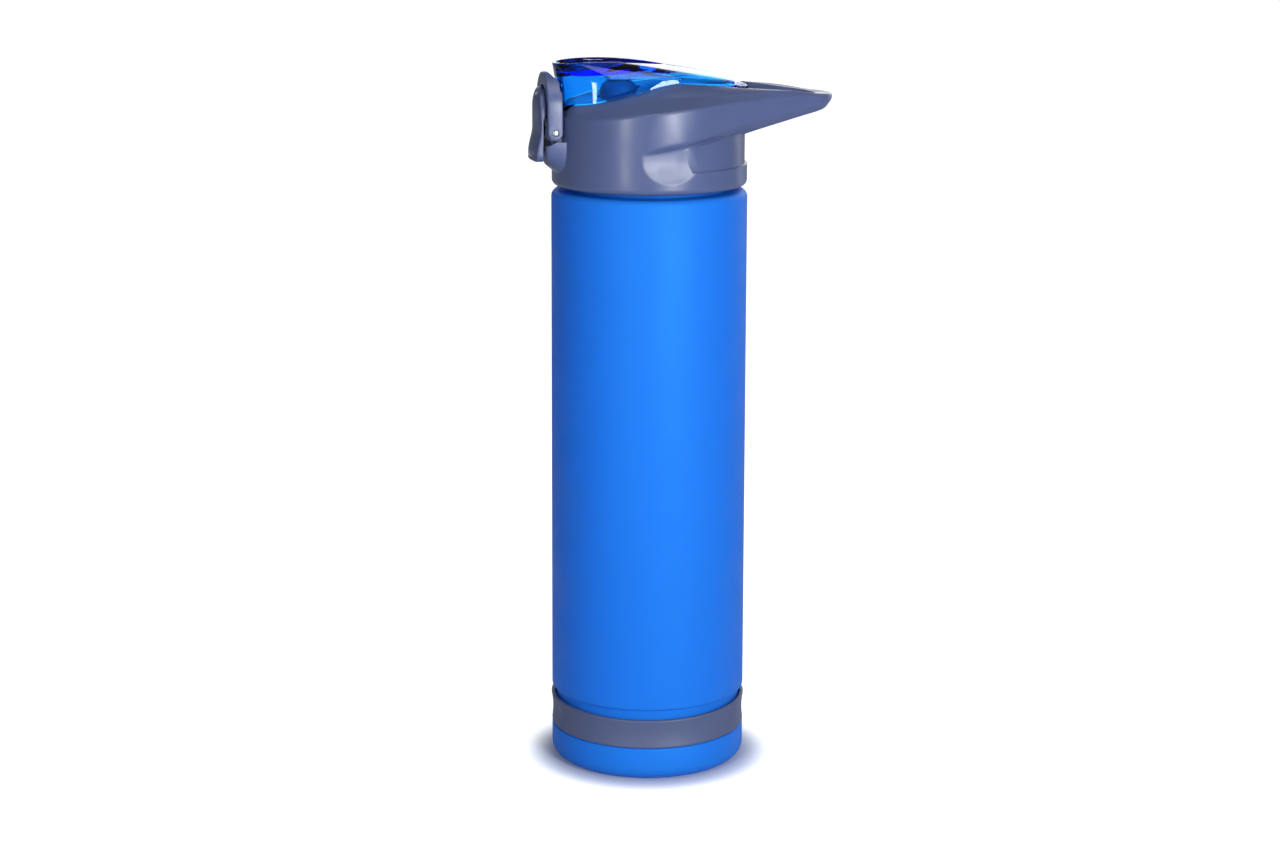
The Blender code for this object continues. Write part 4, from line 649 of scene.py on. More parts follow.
def make_liner_thread():
    """The liner's inside thread: a ridge that runs along a helix and fades out at both ends."""
    steps = int(THREAD_STEPS * LINER_THREAD_TURNS)
    root = LINER_INNER_RADIUS + THREAD_SUNK
    rings = []
    for i in range(steps + 1):
        along = tau * LINER_THREAD_TURNS * i / steps
        height = LINER_THREAD_Z + THREAD_PITCH * along / tau
        fade = max(THREAD_LEAST, thread_fade(along, LINER_THREAD_TURNS))
        crest = LINER_INNER_RADIUS - LINER_THREAD_HEIGHT * fade
        section = [(root, -THREAD_HALF_ROOT), (root, THREAD_HALF_ROOT)]
        section += [(crest, THREAD_HALF_CREST), (crest, -THREAD_HALF_CREST)]
        section = rounded(section, THREAD_EDGE, 2)
        rings.append([(*on_circle(radius, along), height + lift) for radius, lift in section])
    return loft("liner_thread", rings)


def gasket_outline():
    inside, outside = NECK_RADIUS - NECK_WALL - GASKET_MARGIN, NECK_RADIUS + GASKET_MARGIN
    return rounded(rectangle((inside, GASKET_LOW), (outside, GASKET_LOW + GASKET_HEIGHT)), GASKET_EDGE, 4)


def stopper_outline():
    top, flange_low, radius = DISH_UNDERSIDE - GAP, SPOUT_TOP + GAP, SPOUT_BORE - GAP
    tip = SPOUT_TOP - STOPPER_REACH
    outline = [(0.0, top), (STOPPER_FLANGE_RADIUS, top), (STOPPER_FLANGE_RADIUS, flange_low)]
    outline += [(radius, flange_low), (radius - STOPPER_TAPER, tip), (0.0, tip)]
    return rounded(outline, STOPPER_EDGE, 3, closed=False)


# Flip cover


def seat_height(y):
    """The deck's height under the cover's edge."""
    ramp = SEAT_LOW + SEAT_RAMP_SHARE * (y - COVER_FRONT_Y - SEAT_RAMP_START)
    rear = SEAT_TOP - SEAT_FALL_SHARE * (y - COVER_FRONT_Y - SEAT_CREST_BEHIND)
    front = SEAT_LOW + (y - COVER_FRONT_Y - SEAT_NOSE)
    level = soft_min(soft_max(SEAT_LOW, ramp, SEAT_BLEND), rear, SEAT_BLEND)
    return soft_min(level, front, SEAT_BLEND)


def drop_shape(turn, half_width, front, rear, front_power, rear_power):
    power, length = (rear_power, rear) if sin(turn) > 0 else (front_power, front)
    across = abs(cos(turn)) / half_width
    along = abs(sin(turn)) / length
    radius = (across ** power + along ** power) ** (-1.0 / power)
    return radius * cos(turn), radius * sin(turn)


def cover_outline(turn, grow=0.0):
    length = COVER_HALF_LENGTH + grow
    x, y = drop_shape(turn, COVER_HALF_WIDTH + grow, length, length, COVER_FRONT_POWER, COVER_REAR_POWER)
    return x, COVER_CENTRE_Y + y


def top_outline(turn, inset=0.0):
    x, y = drop_shape(turn, TOP_HALF_WIDTH - inset, TOP_FRONT_LENGTH - inset, TOP_REAR_LENGTH - inset,
                      TOP_FRONT_POWER, TOP_REAR_POWER)
    return x, TOP_CENTRE_Y + y


def top_height(y):
    return TOP_HEIGHT - (y - TOP_CREST_Y) ** 2 / (2 * TOP_ARC)


def cover_skin(turn, rise):
    """Outer surface of the cover's side: rise runs from 0 at the seat to 1 at the dish's rim."""
    base, rim = cover_outline(turn), top_outline(turn)
    to_rear = smooth_step(sin(turn), COVER_REAR_START_SHARE, 1.0)
    share = rise ** between(COVER_RISE_POWER, COVER_REAR_RISE_POWER, to_rear)
    height = between(seat_height(base[1]) + COVER_LIFT, top_height(rim[1]), rise)
    return Vector((*part_way(base, rim, share), height))


def cover_inside(turn, rise):
    """The same surface, set in along its normal by the wall."""
    along = cover_skin(turn + NORMAL_STEP, rise) - cover_skin(turn - NORMAL_STEP, rise)
    up = cover_skin(turn, rise + NORMAL_STEP) - cover_skin(turn, max(0.0, rise - NORMAL_STEP))
    inner = cover_skin(turn, rise) - along.cross(up).normalized() * COVER_WALL
    inner.z = max(inner.z, seat_height(inner.y) + COVER_LIFT + COVER_FOOT_CLIMB * rise)
    return inner


def dish_ring(turns, inset, level):
    """A ring round the dish, set in from its rim, at the height that level gives for each y."""
    return [(x, y, level(y)) for x, y in (top_outline(turn, inset) for turn in turns)]


def dish_floor_ring(turns, share, height):
    return [(*part_way(TOP_CENTRE, top_outline(turn, DISH_INSET), share), height) for turn in turns]


def cover_rings():
    """Rings from the seat up the outside, over the lip, across the dish, and down the inside to the seat again."""
    turns = [tau * i / COVER_STEPS for i in range(COVER_STEPS)]
    rings = []
    for step in range(COVER_RISES):
        rings.append([cover_skin(turn, COVER_LAST_RISE * step / COVER_RISES) for turn in turns])
    top = [[cover_skin(turn, COVER_LAST_RISE) for turn in turns]]
    for inset, drop in TOP_LIP_SHARES:
        top.append(dish_ring(turns, TOP_LIP * inset, lambda y: top_height(y) - TOP_LIP * drop))
    last_inset, last_drop = TOP_LIP_SHARES[-1]
    for share in DISH_WALL_SHARES:
        inset = between(TOP_LIP * last_inset, DISH_INSET, share ** DISH_POWER)
        top.append(dish_ring(turns, inset, lambda y: between(top_height(y) - TOP_LIP * last_drop, DISH_FLOOR, share)))
    sag = DISH_FLOOR - DISH_FLOOR_SAG
    top += [dish_floor_ring(turns, share, between(sag, DISH_FLOOR, share)) for share in DISH_FLOOR_SHARES]
    rings += refined(top, 3)
    rings += [[(*TOP_CENTRE, sag)], [(*TOP_CENTRE, DISH_UNDERSIDE)]]
    rings += [dish_floor_ring(turns, share, DISH_UNDERSIDE) for share in DISH_UNDER_SHARES]
    rings += [[cover_inside(turn, rise) for turn in turns] for rise in COVER_INSIDE_RISES]
    foot = [cover_inside(turn, 0.0) for turn in turns]
    rings.append([(inner.x, inner.y, seat_height(inner.y) + COVER_LIFT) for inner in foot])
    return rings


def tooth_tip():
    """How far forward the cover's tooth reaches, in y."""
    return cover_skin(-pi / 2, TOOTH_RISE_SHARE).y - TOOTH_REACH


def cross_bar(name, radius, low, high, centre, steps=SMALL_STEPS):
    return turned(name, rod(radius, low, high), steps, centre, along_x=True)


def pin_bore(radius, half_length, centre, steps=BORE_STEPS):
    return cross_bar("bore", radius + PIN_PLAY, -half_length, half_length, centre, steps)


def block(name, low, high):
    return prism(name, rectangle(low, high), low[2], high[2])


def both_sides(name, outline, inner, outer):
    """The same outline pushed along X on each side of the middle plane."""
    return [prism(f"{name}_{side}", outline, *sorted((side * inner, side * outer)), "X") for side in (-1, 1)]


def make_cover():
    cover = loft("clear_cover", cover_rings(), closed=True)
    notch = KNUCKLE_INNER + GAP
    coil = HINGE_COIL_RADIUS + HINGE_WIRE + GAP
    combine(cover, "DIFFERENCE", cross_bar("notch", NOTCH_RADIUS, -notch, notch, HINGE),
            cross_bar("coil", coil, KNUCKLE_THIN - GAP - KNUCKLE_OUTER, GAP - KNUCKLE_INNER, HINGE))
    for low, high in ((KNUCKLE_INNER, KNUCKLE_OUTER), (-KNUCKLE_OUTER, KNUCKLE_THIN - KNUCKLE_OUTER)):
        combine(cover, "UNION", cross_bar("knuckle", KNUCKLE_RADIUS, low, high, HINGE, KNUCKLE_STEPS))
    combine(cover, "DIFFERENCE", pin_bore(HINGE_PIN_RADIUS, COVER_BORE, HINGE))
    tooth_low = (-TOOTH_HALF_WIDTH, tooth_tip(), TOOTH_LOW)
    tooth_high = (TOOTH_HALF_WIDTH, tooth_tip() + TOOTH_REACH + COVER_WALL / 2, TOOTH_LOW + TOOTH_HEIGHT)
    combine(cover, "UNION", block("tooth", tooth_low, tooth_high))
    return cover


# Cap shell


def rim_height(y):
    """The line where the cap's side meets its deck: a long arc whose top lies over the loop."""
    return RIM_TOP - (y - RIM_TOP_Y) ** 2 / (2 * RIM_ARC)


def foot_height(y):
    """The deck's height where the hump under the cover starts, and along the loop's inner edge."""
    line = FOOT_HEIGHT + FOOT_CLIMB_SHARE * y - max(0.0, y - FOOT_FALL_Y) ** 2 / (2 * FOOT_FALL_ARC)
    return soft_min(seat_height(min(y, HINGE_Y)) - SEAT_MARGIN, line, SEAT_BLEND)


def loop_low(y):
    return LOOP_LOW_Z + LOOP_LOW_SHARE * y


def collar_stations():
    """Pairs of a direction and a point of the upper plan outline: the loop's teardrop, then the circle."""
    stations = []
    rear_steps = 2 * LINE_STEPS + TIP_STEPS
    tip = (0.0, LOOP_TIP_CENTRE_Y)
    leave = asin((COLLAR_RADIUS - LOOP_TIP_RADIUS) / LOOP_TIP_CENTRE_Y)
    sweep = pi - 2 * leave
    start, touch = on_circle(COLLAR_RADIUS, leave), on_circle(LOOP_TIP_RADIUS, leave, tip)
    for i in range(rear_steps):
        side, step = (1, i) if i < rear_steps / 2 else (-1, rear_steps - i)
        if step < LINE_STEPS:
            x, y = part_way(start, touch, step / LINE_STEPS)
            point = (side * x, y)
        else:
            point = on_circle(LOOP_TIP_RADIUS, leave + sweep * (i - LINE_STEPS) / TIP_STEPS, tip)
        stations.append((leave + sweep * i / rear_steps, point))
    for i in range(CIRCLE_STEPS):
        turn = pi - leave + (pi + 2 * leave) * i / CIRCLE_STEPS
        stations.append((turn, on_circle(COLLAR_RADIUS, turn)))
    return stations


def toward(start, goal, distance):
    gap = hypot(goal[0] - start[0], goal[1] - start[1])
    return part_way(start, goal, min(distance / gap, FOOT_INSET_MOST_SHARE))


def scoop_depth(turn, z):
    """How deep the finger scoop on each side is: part of an oval bowl whose top ends at the crease."""
    off = atan2(sin(turn), abs(cos(turn))) - SCOOP_ANGLE
    tall = SCOOP_HALF_UP if z > SCOOP_Z else SCOOP_HALF_DOWN
    inside = 1.0 - (off / SCOOP_HALF_ANGLE) ** 2 - ((z - SCOOP_Z) / tall) ** 2
    return SCOOP_DEPTH * max(0.0, inside)


def cap_column(turn, outer):
    """One station's points from the collar's lower edge up the side, round the loop's edge and in over the deck."""
    to_x, to_y = on_circle(1.0, turn)
    column = []
    for angle in COLLAR_EDGE_ANGLES:
        radius = COLLAR_RADIUS - COLLAR_EDGE * (1 - cos(radians(angle)))
        height = COLLAR_BOTTOM + COLLAR_EDGE * (1 + sin(radians(angle)))
        column.append((radius * to_x, radius * to_y, height))
    low, high = COLLAR_BOTTOM + COLLAR_EDGE, loop_low(COLLAR_RADIUS * to_y) - LOOP_CHAMFER_INSET / 2
    for i in range(WALL_STEPS):
        z = between(low, high, i / WALL_STEPS)
        radius = COLLAR_RADIUS - scoop_depth(turn, z)
        column.append((radius * to_x, radius * to_y, z))
    crease = loop_low(outer[1])
    rear = smooth_step(outer[1], CREASE_START_Y, COLLAR_RADIUS / 2)
    inset = max(LOOP_CHAMFER_INSET * rear, scoop_depth(turn, crease))
    tucked = toward(outer, (0.0, outer[1] / 2), inset) if inset > 0 else outer
    wall = COLLAR_RADIUS - scoop_depth(turn, high)
    raised = between(LOOP_CHAMFER_LEAST, LOOP_CHAMFER_HEIGHT, smooth_step(outer[1], *LOOP_CHAMFER_RISE))
    seat = cover_outline(turn, SEAT_MARGIN)
    to_rear = smooth_step(to_y, 0.0, FOOT_REAR_TURN_SHARE)
    foot = toward(outer, seat, between(FOOT_INSET_SIDE, FOOT_INSET_REAR, to_rear))
    foot_z, top = foot_height(foot[1]), rim_height(outer[1])
    edge = toward(outer, foot, RIM_EDGE)
    middle = ((edge[0] + foot[0]) / 2, (edge[1] + foot[1]) / 2)
    corners = [(wall * to_x, wall * to_y, high), (*tucked, crease), (*outer, crease + raised), (*outer, top)]
    corners += [(*middle, between(top, foot_z, SLOPE_RISE_SHARE)), (*foot, foot_z), (*seat, seat_height(seat[1]))]
    column += rounded(corners, CAP_CORNERS, 4, closed=False)
    for share in DECK_SHARES:
        x, y = part_way(seat, SPOUT_CENTRE, share)
        column.append((x, y, seat_height(y)))
    return column


def cavity_height(y):
    drop = CAVITY_LOW + CAVITY_DROP_SHARE * max(0.0, CAVITY_DROP_Y - y)
    return soft_min(seat_height(y) - DECK_WALL, drop, SEAT_BLEND)


def cavity_cutter():
    """The hollow inside the collar and under the deck."""
    rings = []
    for index, share in enumerate(CAVITY_RING_SHARES):
        ring = []
        for turn, _ in collar_stations()[::CAVITY_STRIDE]:
            x, y = on_circle(CAVITY_RADIUS * share, turn)
            height = (
                COLLAR_BOTTOM - OVERRUN,
                min(rim_height(y) - DECK_WALL - RIM_EDGE, cavity_height(y)),
                min(foot_height(y) - DECK_WALL, cavity_height(y)),
                cavity_height(y),
            )[index]
            ring.append((x, y, max(height, LINER_TOP + GAP) if index else height))
        rings.append(ring)
    rings.append([(0.0, 0.0, cavity_height(0.0))])
    return loft("cavity", rings)


def finger_cutter():
    """The finger opening: a round tip, two straight sides and a front that follows the collar."""
    wall = COLLAR_RADIUS + FINGER_WALL_GAP
    corner_y = sqrt(wall ** 2 - FINGER_HALF_WIDTH ** 2)
    lean = degrees(atan2(FINGER_HALF_WIDTH - FINGER_TIP_RADIUS, FINGER_TIP_CENTRE_Y - corner_y))
    outline = arc((0.0, FINGER_TIP_CENTRE_Y), FINGER_TIP_RADIUS, lean, 180 - lean, 41)
    outline += [(-FINGER_HALF_WIDTH, corner_y + FINGER_CORNER)]
    half = degrees(asin((FINGER_HALF_WIDTH - FINGER_CORNER) / wall))
    outline += arc((0.0, 0.0), wall, 90 + half, 90 - half, 29)
    outline += [(FINGER_HALF_WIDTH, corner_y + FINGER_CORNER)]
    return prism("finger", outline, LOOP_LOW_Z - OVERRUN, SEAT_TOP)


def recess_cutter():
    """The wall under the loop, set in a little, with a slanted edge on each side and a ledge below."""
    inner, outer = COLLAR_RADIUS - RECESS_DEPTH, COLLAR_RADIUS + OVERRUN
    sections = []
    for i in range(RECESS_STEPS + 1):
        section = []
        for radius, angle, top in ((inner, RECESS_ANGLE_LOW, False), (outer, RECESS_ANGLE_LOW, False),
                                   (outer, RECESS_ANGLE_HIGH, True), (inner, RECESS_ANGLE_HIGH, True)):
            turn = between(angle, pi - angle, i / RECESS_STEPS)
            height = loop_low(COLLAR_RADIUS * sin(turn)) if top else RECESS_LOW
            section.append((*on_circle(radius, turn), height))
        sections.append(section)
    return loft("recess", sections)


def boss_solid():
    """The oval boss below the pins; its underside runs back into the collar."""
    top = PIN_Z - CHEEK_RADIUS
    power = 2.0 / BOSS_CORNER_POWER
    edge = [(1 - cos(radians(angle)), 1 - sin(radians(angle))) for angle in BOSS_FILLET_ANGLES]
    sections = [(BOSS_FRONT_Y + BOSS_FILLET * back, BOSS_FILLET * inward) for back, inward in edge]
    rings = []
    for y, shrink in sections + [(COLLAR_EDGE - CAVITY_RADIUS, 0.0)]:
        bottom = BOSS_BOTTOM - BOSS_SLOPE_SHARE * (y - BOSS_FRONT_Y) + shrink
        half = BOSS_HALF_WIDTH - shrink
        ring = [(half, y, top), (-half, y, top)]
        for i in range(1, BOSS_STEPS):
            turn = pi + pi * i / BOSS_STEPS
            x = half * copysign(abs(cos(turn)) ** power, cos(turn))
            ring.append((x, y, top - (top - bottom) * abs(sin(turn)) ** power))
        rings.append(ring)
    return loft("boss", rings)


def leg_cutters():
    """Clear the path of the ring's legs over the boss and beside the cheeks."""
    reach = RING_DEPTH / 2 + GAP
    foot = (PIN_Y + reach * sin(BOSS_SHOULDER_ANGLE), PIN_Z - reach * cos(BOSS_SHOULDER_ANGLE))
    ahead = BOSS_FRONT_Y - OVERRUN
    outline = [(ahead, foot[1] - (foot[0] - ahead) * tan(BOSS_SHOULDER_ANGLE)), foot]
    outline += arc(PIN, reach, RING_LEG_SWEEP, 0, 13)
    outline += [(PIN_Y + reach, RING_TOP), (ahead, RING_TOP)]
    return both_sides("leg", outline, CHEEK_OUTER + GAP, BOSS_HALF_WIDTH + OVERRUN)


def cheek_solids():
    """The two cheeks that carry the front pin, with round noses."""
    outline = arc(PIN, CHEEK_RADIUS, 90, 270, 31)
    outline += [(CHEEK_BACK_Y, PIN_Z - CHEEK_RADIUS), (CHEEK_BACK_Y, PIN_Z + CHEEK_RADIUS)]
    return both_sides("cheek", outline, CHEEK_INNER, CHEEK_OUTER)


def trough_cutter():
    """The hollow for the cover's knuckles, open above and to the rear."""
    behind = COLLAR_RADIUS + FINGER_WALL_GAP + OVERRUN
    outline = [(TROUGH_FRONT_Y, SEAT_TOP), (TROUGH_FRONT_Y, HINGE_Z - TROUGH_REACH)]
    outline += [(HINGE_Y + TROUGH_REACH, HINGE_Z - TROUGH_REACH), (HINGE_Y + TROUGH_REACH, REAR_WALL_TOP)]
    outline += [(behind, REAR_WALL_TOP), (behind, SEAT_TOP)]
    return prism("trough", outline, -TROUGH_HALF_WIDTH, TROUGH_HALF_WIDTH, "X")


def slot_cutter():
    """Room for the paddle's lug in the collar's side."""
    outline = arc(PIN, LUG_RADIUS + GAP, -90, 90, 25)
    front = BOSS_FRONT_Y - OVERRUN
    outline += [(front, PIN_Z + LUG_RADIUS + GAP), (front, PIN_Z - LUG_RADIUS - GAP)]
    return prism("slot", outline, -LUG_HALF_WIDTH - GAP, LUG_HALF_WIDTH + GAP, "X")


def make_cap():
    columns = [cap_column(turn, outer) for turn, outer in collar_stations()]
    rings = [list(ring) for ring in zip(*columns)] + [[(0.0, SPOUT_Y, seat_height(SPOUT_Y))]]
    cap = loft("cap", rings)
    combine(cap, "UNION", boss_solid())
    pocket_bottom = BOSS_BOTTOM - BOSS_SLOPE_SHARE * POCKET_DEPTH - OVERRUN
    pocket_low = (-POCKET_HALF_WIDTH, BOSS_FRONT_Y - OVERRUN, pocket_bottom)
    pocket_high = (POCKET_HALF_WIDTH, BOSS_FRONT_Y + POCKET_DEPTH, PIN_Z + CHEEK_RADIUS + OVERRUN)
    combine(cap, "DIFFERENCE", block("pocket", pocket_low, pocket_high), slot_cutter())
    combine(cap, "UNION", *cheek_solids())
    combine(cap, "DIFFERENCE", cavity_cutter(), *leg_cutters())
    hole = turned("hole", rod(DECK_HOLE_RADIUS, LINER_DISC_LOW, TOP_HEIGHT), DECK_HOLE_STEPS, SPOUT_CENTRE)
    combine(cap, "DIFFERENCE", trough_cutter(), hole, finger_cutter(), recess_cutter())
    lug = arc(HINGE, HINGE_LUG_RADIUS, 0, 180, 31)
    foot = HINGE_Z - TROUGH_REACH - OVERRUN / 2
    lug += [(HINGE_Y - HINGE_LUG_RADIUS, foot), (HINGE_Y + HINGE_LUG_RADIUS, foot)]
    half = KNUCKLE_INNER - GAP
    combine(cap, "UNION", prism("lug", lug, -half, half, "X"))
    combine(cap, "DIFFERENCE", pin_bore(FRONT_PIN_RADIUS, CAP_FRONT_BORE, PIN, BORE_STEPS + 1),
            pin_bore(HINGE_PIN_RADIUS, HINGE_LUG_BORE, HINGE, BORE_STEPS - 1))
    return cap


# Lock ring, paddle, pins and springs


def make_ring():
    steps = 60
    arch_z = RING_TOP - RING_HALF_WIDTH
    inner_rise = RING_HALF_WIDTH - RING_ARCH_HEIGHT
    outer, inner = [], []
    for share in RING_LEG_SHARES:
        outer.append((RING_HALF_WIDTH, between(PIN_Z, arch_z, share)))
        inner.append((RING_INNER_HALF_WIDTH, between(PIN_Z, arch_z, share)))
    legs = len(outer)
    for i in range(steps + 1):
        turn = pi * i / steps
        outer.append(on_circle(RING_HALF_WIDTH, turn, (0.0, arch_z)))
        inner.append((RING_INNER_HALF_WIDTH * cos(turn), arch_z + inner_rise * sin(turn)))
    outer += [(-x, z) for x, z in reversed(outer[:legs])]
    inner += [(-x, z) for x, z in reversed(inner[:legs])]
    rings = []
    front_y = PIN_Y - RING_DEPTH / 2
    for (ox, oz), (ix, iz) in zip(outer, inner):
        width = hypot(ox - ix, oz - iz)
        out_x, out_z = (ox - ix) / width, (oz - iz) / width
        section = rounded(rectangle((0.0, 0.0), (width, RING_DEPTH)), RING_FILLET, 4)
        rings.append([(ox - out_x * inward, front_y + back, oz - out_z * inward) for inward, back in section])
    ring = loft("bail", rings)
    foot = RING_DEPTH / 2
    for side in (-1, 1):
        low, high = sorted((side * RING_INNER_HALF_WIDTH, side * RING_HALF_WIDTH))
        end = rounded(rod(foot, low, high), RING_FILLET, 4, closed=False)
        combine(ring, "UNION", turned(f"foot_{side}", end, SMALL_STEPS, PIN, along_x=True))
    crest_y, back_y = PIN_Y - RING_CHAMFER_STAND, PIN_Y + RING_BACK_STAND
    foot_z, far_y = RING_TOP - RING_BACK_HEIGHT, PIN_Y + RING_DEPTH / 2 + OVERRUN
    chamfer = [(crest_y, RING_TOP), (back_y, RING_TOP - RING_CHAMFER_HEIGHT), (back_y, foot_z)]
    above = RING_TOP + OVERRUN
    chamfer += [(far_y, foot_z - OVERRUN), (far_y, above), (crest_y - OVERRUN, above)]
    half = RING_HALF_WIDTH + OVERRUN
    combine(ring, "DIFFERENCE", prism("chamfer", chamfer, -half, half, "X"),
            pin_bore(FRONT_PIN_RADIUS, half, PIN))
    return ring


def paddle_face(x, z):
    """Front surface of the paddle: round about the bottle's axis, with a lip below, leaning back above."""
    lip = PADDLE_LIP * smooth_step(-z, -PADDLE_LIP_HIGH, -PADDLE_LIP_LOW)
    lean = max(0.0, z - PADDLE_LEAN_Z) ** 2 / (2 * PADDLE_LEAN_ARC)
    return -sqrt((PADDLE_FACE + lip - lean) ** 2 - x ** 2)


def paddle_back(z):
    return PADDLE_BACK_Y + PADDLE_BACK_STEP * smooth_step(z, PIN_Z + CHEEK_RADIUS, PADDLE_LEAN_Z)


def make_paddle():
    half, corner = PADDLE_HALF_WIDTH, PADDLE_CORNER
    outline = arc((0.0, PADDLE_TOP - half), half, 0, 180, 48)
    left = [(-half, between(PADDLE_TOP - half, PADDLE_BOTTOM + corner, share / 10)) for share in range(1, 10)]
    left += arc((corner - half, PADDLE_BOTTOM + corner), corner, 180, 270, 8)
    bottom = [(between(corner - half, half - corner, i / 10), PADDLE_BOTTOM) for i in range(1, 10)]
    outline += left + bottom + [(-x, z) for x, z in reversed(left)]
    middle_z = (PADDLE_TOP + PADDLE_BOTTOM) / 2

    def ring_at(share, depth):
        found = []
        for x, z in outline:
            px, pz = part_way((0.0, middle_z), (x, z), share)
            found.append((px, depth(px, pz), pz))
        return found

    rings = [[(0.0, paddle_back(middle_z), middle_z)]]
    for share in PADDLE_BACK_SHARES:
        rings.append(ring_at(share, lambda x, z: paddle_back(z)))
    for share in PADDLE_EDGE_SHARES:
        rings.append(ring_at(1.0, lambda x, z: between(paddle_back(z), paddle_face(x, z), share)))
    for share, sunk in PADDLE_FACE_SHARES:
        rings.append(ring_at(share, lambda x, z: paddle_face(x, z) + sunk * PAD_GROOVE_DEPTH))
    rings.append([(0.0, paddle_face(0.0, middle_z), middle_z)])
    paddle = loft("paddle", rings)
    sink = PADDLE_BACK_Y - PADDLE_SINK
    lug = arc(PIN, LUG_RADIUS, -90, 90, 24)
    lug += [(sink, PIN_Z + LUG_RADIUS), (sink, PIN_Z - LUG_RADIUS)]
    combine(paddle, "UNION", prism("lug", lug, -LUG_HALF_WIDTH, LUG_NARROW_X, "X"))
    hook_top, hook_tip = HOOK_LOW + HOOK_HEIGHT, tooth_tip() - SIDE_PLAY
    hook = [(sink, HOOK_LOW), (hook_tip, HOOK_LOW), (hook_tip, HOOK_LOW + HOOK_HEIGHT / 2)]
    hook += [(hook_tip - HOOK_HEIGHT / 2, hook_top), (sink, hook_top)]
    combine(paddle, "UNION", prism("hook", hook, -HOOK_HALF_WIDTH, HOOK_HALF_WIDTH, "X"))
    combine(paddle, "DIFFERENCE", pin_bore(FRONT_PIN_RADIUS, PADDLE_BORE, PIN))
    return paddle


def make_pin(name, centre, radius, half_length):
    """A pin with slightly domed heads."""
    outline = [(0.0, -half_length - PIN_DOME)]
    for i in range(1, PIN_DOME_STEPS):
        turn = pi / 2 * i / PIN_DOME_STEPS
        outline.append((radius * sin(turn), -half_length - PIN_DOME * cos(turn)))
    outline.append((radius, -half_length))
    outline += [(far, -along) for far, along in reversed(outline)]
    return turned(name, outline, WIRE_STEPS, centre, along_x=True)


def tube(name, route, radius, sides=14):
    """A round wire along a route of points, with flat ends."""
    rings = []
    side = None
    for i, here in enumerate(route):
        along = (route[min(len(route) - 1, i + 1)] - route[max(0, i - 1)]).normalized()
        side = along.orthogonal() if side is None else side - along * side.dot(along)
        side = side.normalized()
        other = along.cross(side)
        turns = [tau * j / sides for j in range(sides)]
        rings.append([here + (side * cos(turn) + other * sin(turn)) * radius for turn in turns])
    return loft(name, rings)


def make_spring(name, centre, coil_radius, wire, span, leg_turns, leg_lengths):
    """A torsion spring of two turns about a pin along X; each leg leaves the coil along its tangent."""
    first_turn, last_turn = leg_turns
    sweep = 4 * pi + (last_turn - first_turn)
    steps = round(WIRE_STEPS * sweep / tau)
    route = []
    for i in range(steps + 1):
        turn = first_turn + sweep * i / steps
        x = between(span[0] + GAP + wire, span[1] - GAP - wire, i / steps)
        route.append(Vector((x, *on_circle(coil_radius, turn, centre))))
    first = Vector((0.0, sin(first_turn), -cos(first_turn))) * leg_lengths[0]
    last = Vector((0.0, -sin(last_turn), cos(last_turn))) * leg_lengths[1]
    return tube(name, [route[0] + first] + route + [route[-1] + last], wire)


# Materials

WHITE = (1.0, 1.0, 1.0, 1.0)
SLOW_NOISE = {"Detail": 4.0, "Roughness": 0.6}
FINE_NOISE = {"Detail": 2.0}
UNEVEN_SHARE = 3.0
NOISE_LOW = 0.3
NOISE_HIGH = 0.7
BUMP_STRENGTH = 0.4
BEVEL_SAMPLES = 6


def feed(tree, socket, source):
    """Sets an input to a plain value, or links another node's output to it."""
    if isinstance(source, bpy.types.NodeSocket):
        tree.links.new(source, socket)
    else:
        socket.default_value = source


def add_node(tree, kind, *inputs, **settings):
    """A shader node with its settings, and its inputs fed in order or by name."""
    node = tree.nodes.new("ShaderNode" + kind)
    for label, value in settings.items():
        if hasattr(node, label):
            setattr(node, label, value)
        else:
            feed(tree, node.inputs[label.replace("_", " ")], value)
    for socket, source in zip(node.inputs, inputs):
        feed(tree, socket, source)
    return node


def moulded(name, colour, roughness, swing=0.06, patch=55.0, shift=0.05, grain=2600.0, depth=0.00003, edge=0.0,
            **sockets):
    """A moulded surface: slow changes of shade, uneven gloss, a fine grain and, where edge isn't 0, soft edges."""
    made = bpy.data.materials.new(name)
    made.use_nodes = True
    tree = made.node_tree
    shader = tree.nodes["Principled BSDF"]
    for label, value in sockets.items():
        shader.inputs[label.replace("_", " ")].default_value = value
    place = add_node(tree, "TexCoord").outputs["Object"]
    slow = add_node(tree, "TexNoise", place, Scale=patch, **SLOW_NOISE)
    shade = add_node(tree, "Mix", slow.outputs["Fac"], data_type="RGBA")
    for index, share in ((6, 1.0 - swing), (7, 1.0 + swing)):
        shade.inputs[index].default_value = (*[min(1.0, value * share) for value in colour], 1.0)
    uneven = add_node(tree, "TexNoise", place, Scale=patch * UNEVEN_SHARE, **FINE_NOISE).outputs["Fac"]
    gloss = add_node(tree, "MapRange", uneven, NOISE_LOW, NOISE_HIGH, roughness - shift, roughness + shift)
    fine = add_node(tree, "TexNoise", place, Scale=grain, **FINE_NOISE)
    bump = add_node(tree, "Bump", Height=fine.outputs["Fac"], Strength=BUMP_STRENGTH, Distance=depth)
    if edge:
        soft = add_node(tree, "Bevel", samples=BEVEL_SAMPLES, Radius=edge)
        feed(tree, bump.inputs["Normal"], soft.outputs["Normal"])
    feed(tree, shader.inputs["Base Color"], shade.outputs[2])
    feed(tree, shader.inputs["Roughness"], gloss.outputs["Result"])
    feed(tree, shader.inputs["Normal"], bump.outputs["Normal"])
    return made


def absorbing(made, colour, density):
    """Makes the material take light away on its way through."""
    tree = made.node_tree
    volume = add_node(tree, "VolumeAbsorption", Color=(*colour, 1.0), Density=density)
    feed(tree, tree.nodes["Material Output"].inputs["Volume"], volume.outputs["Volume"])
    return made


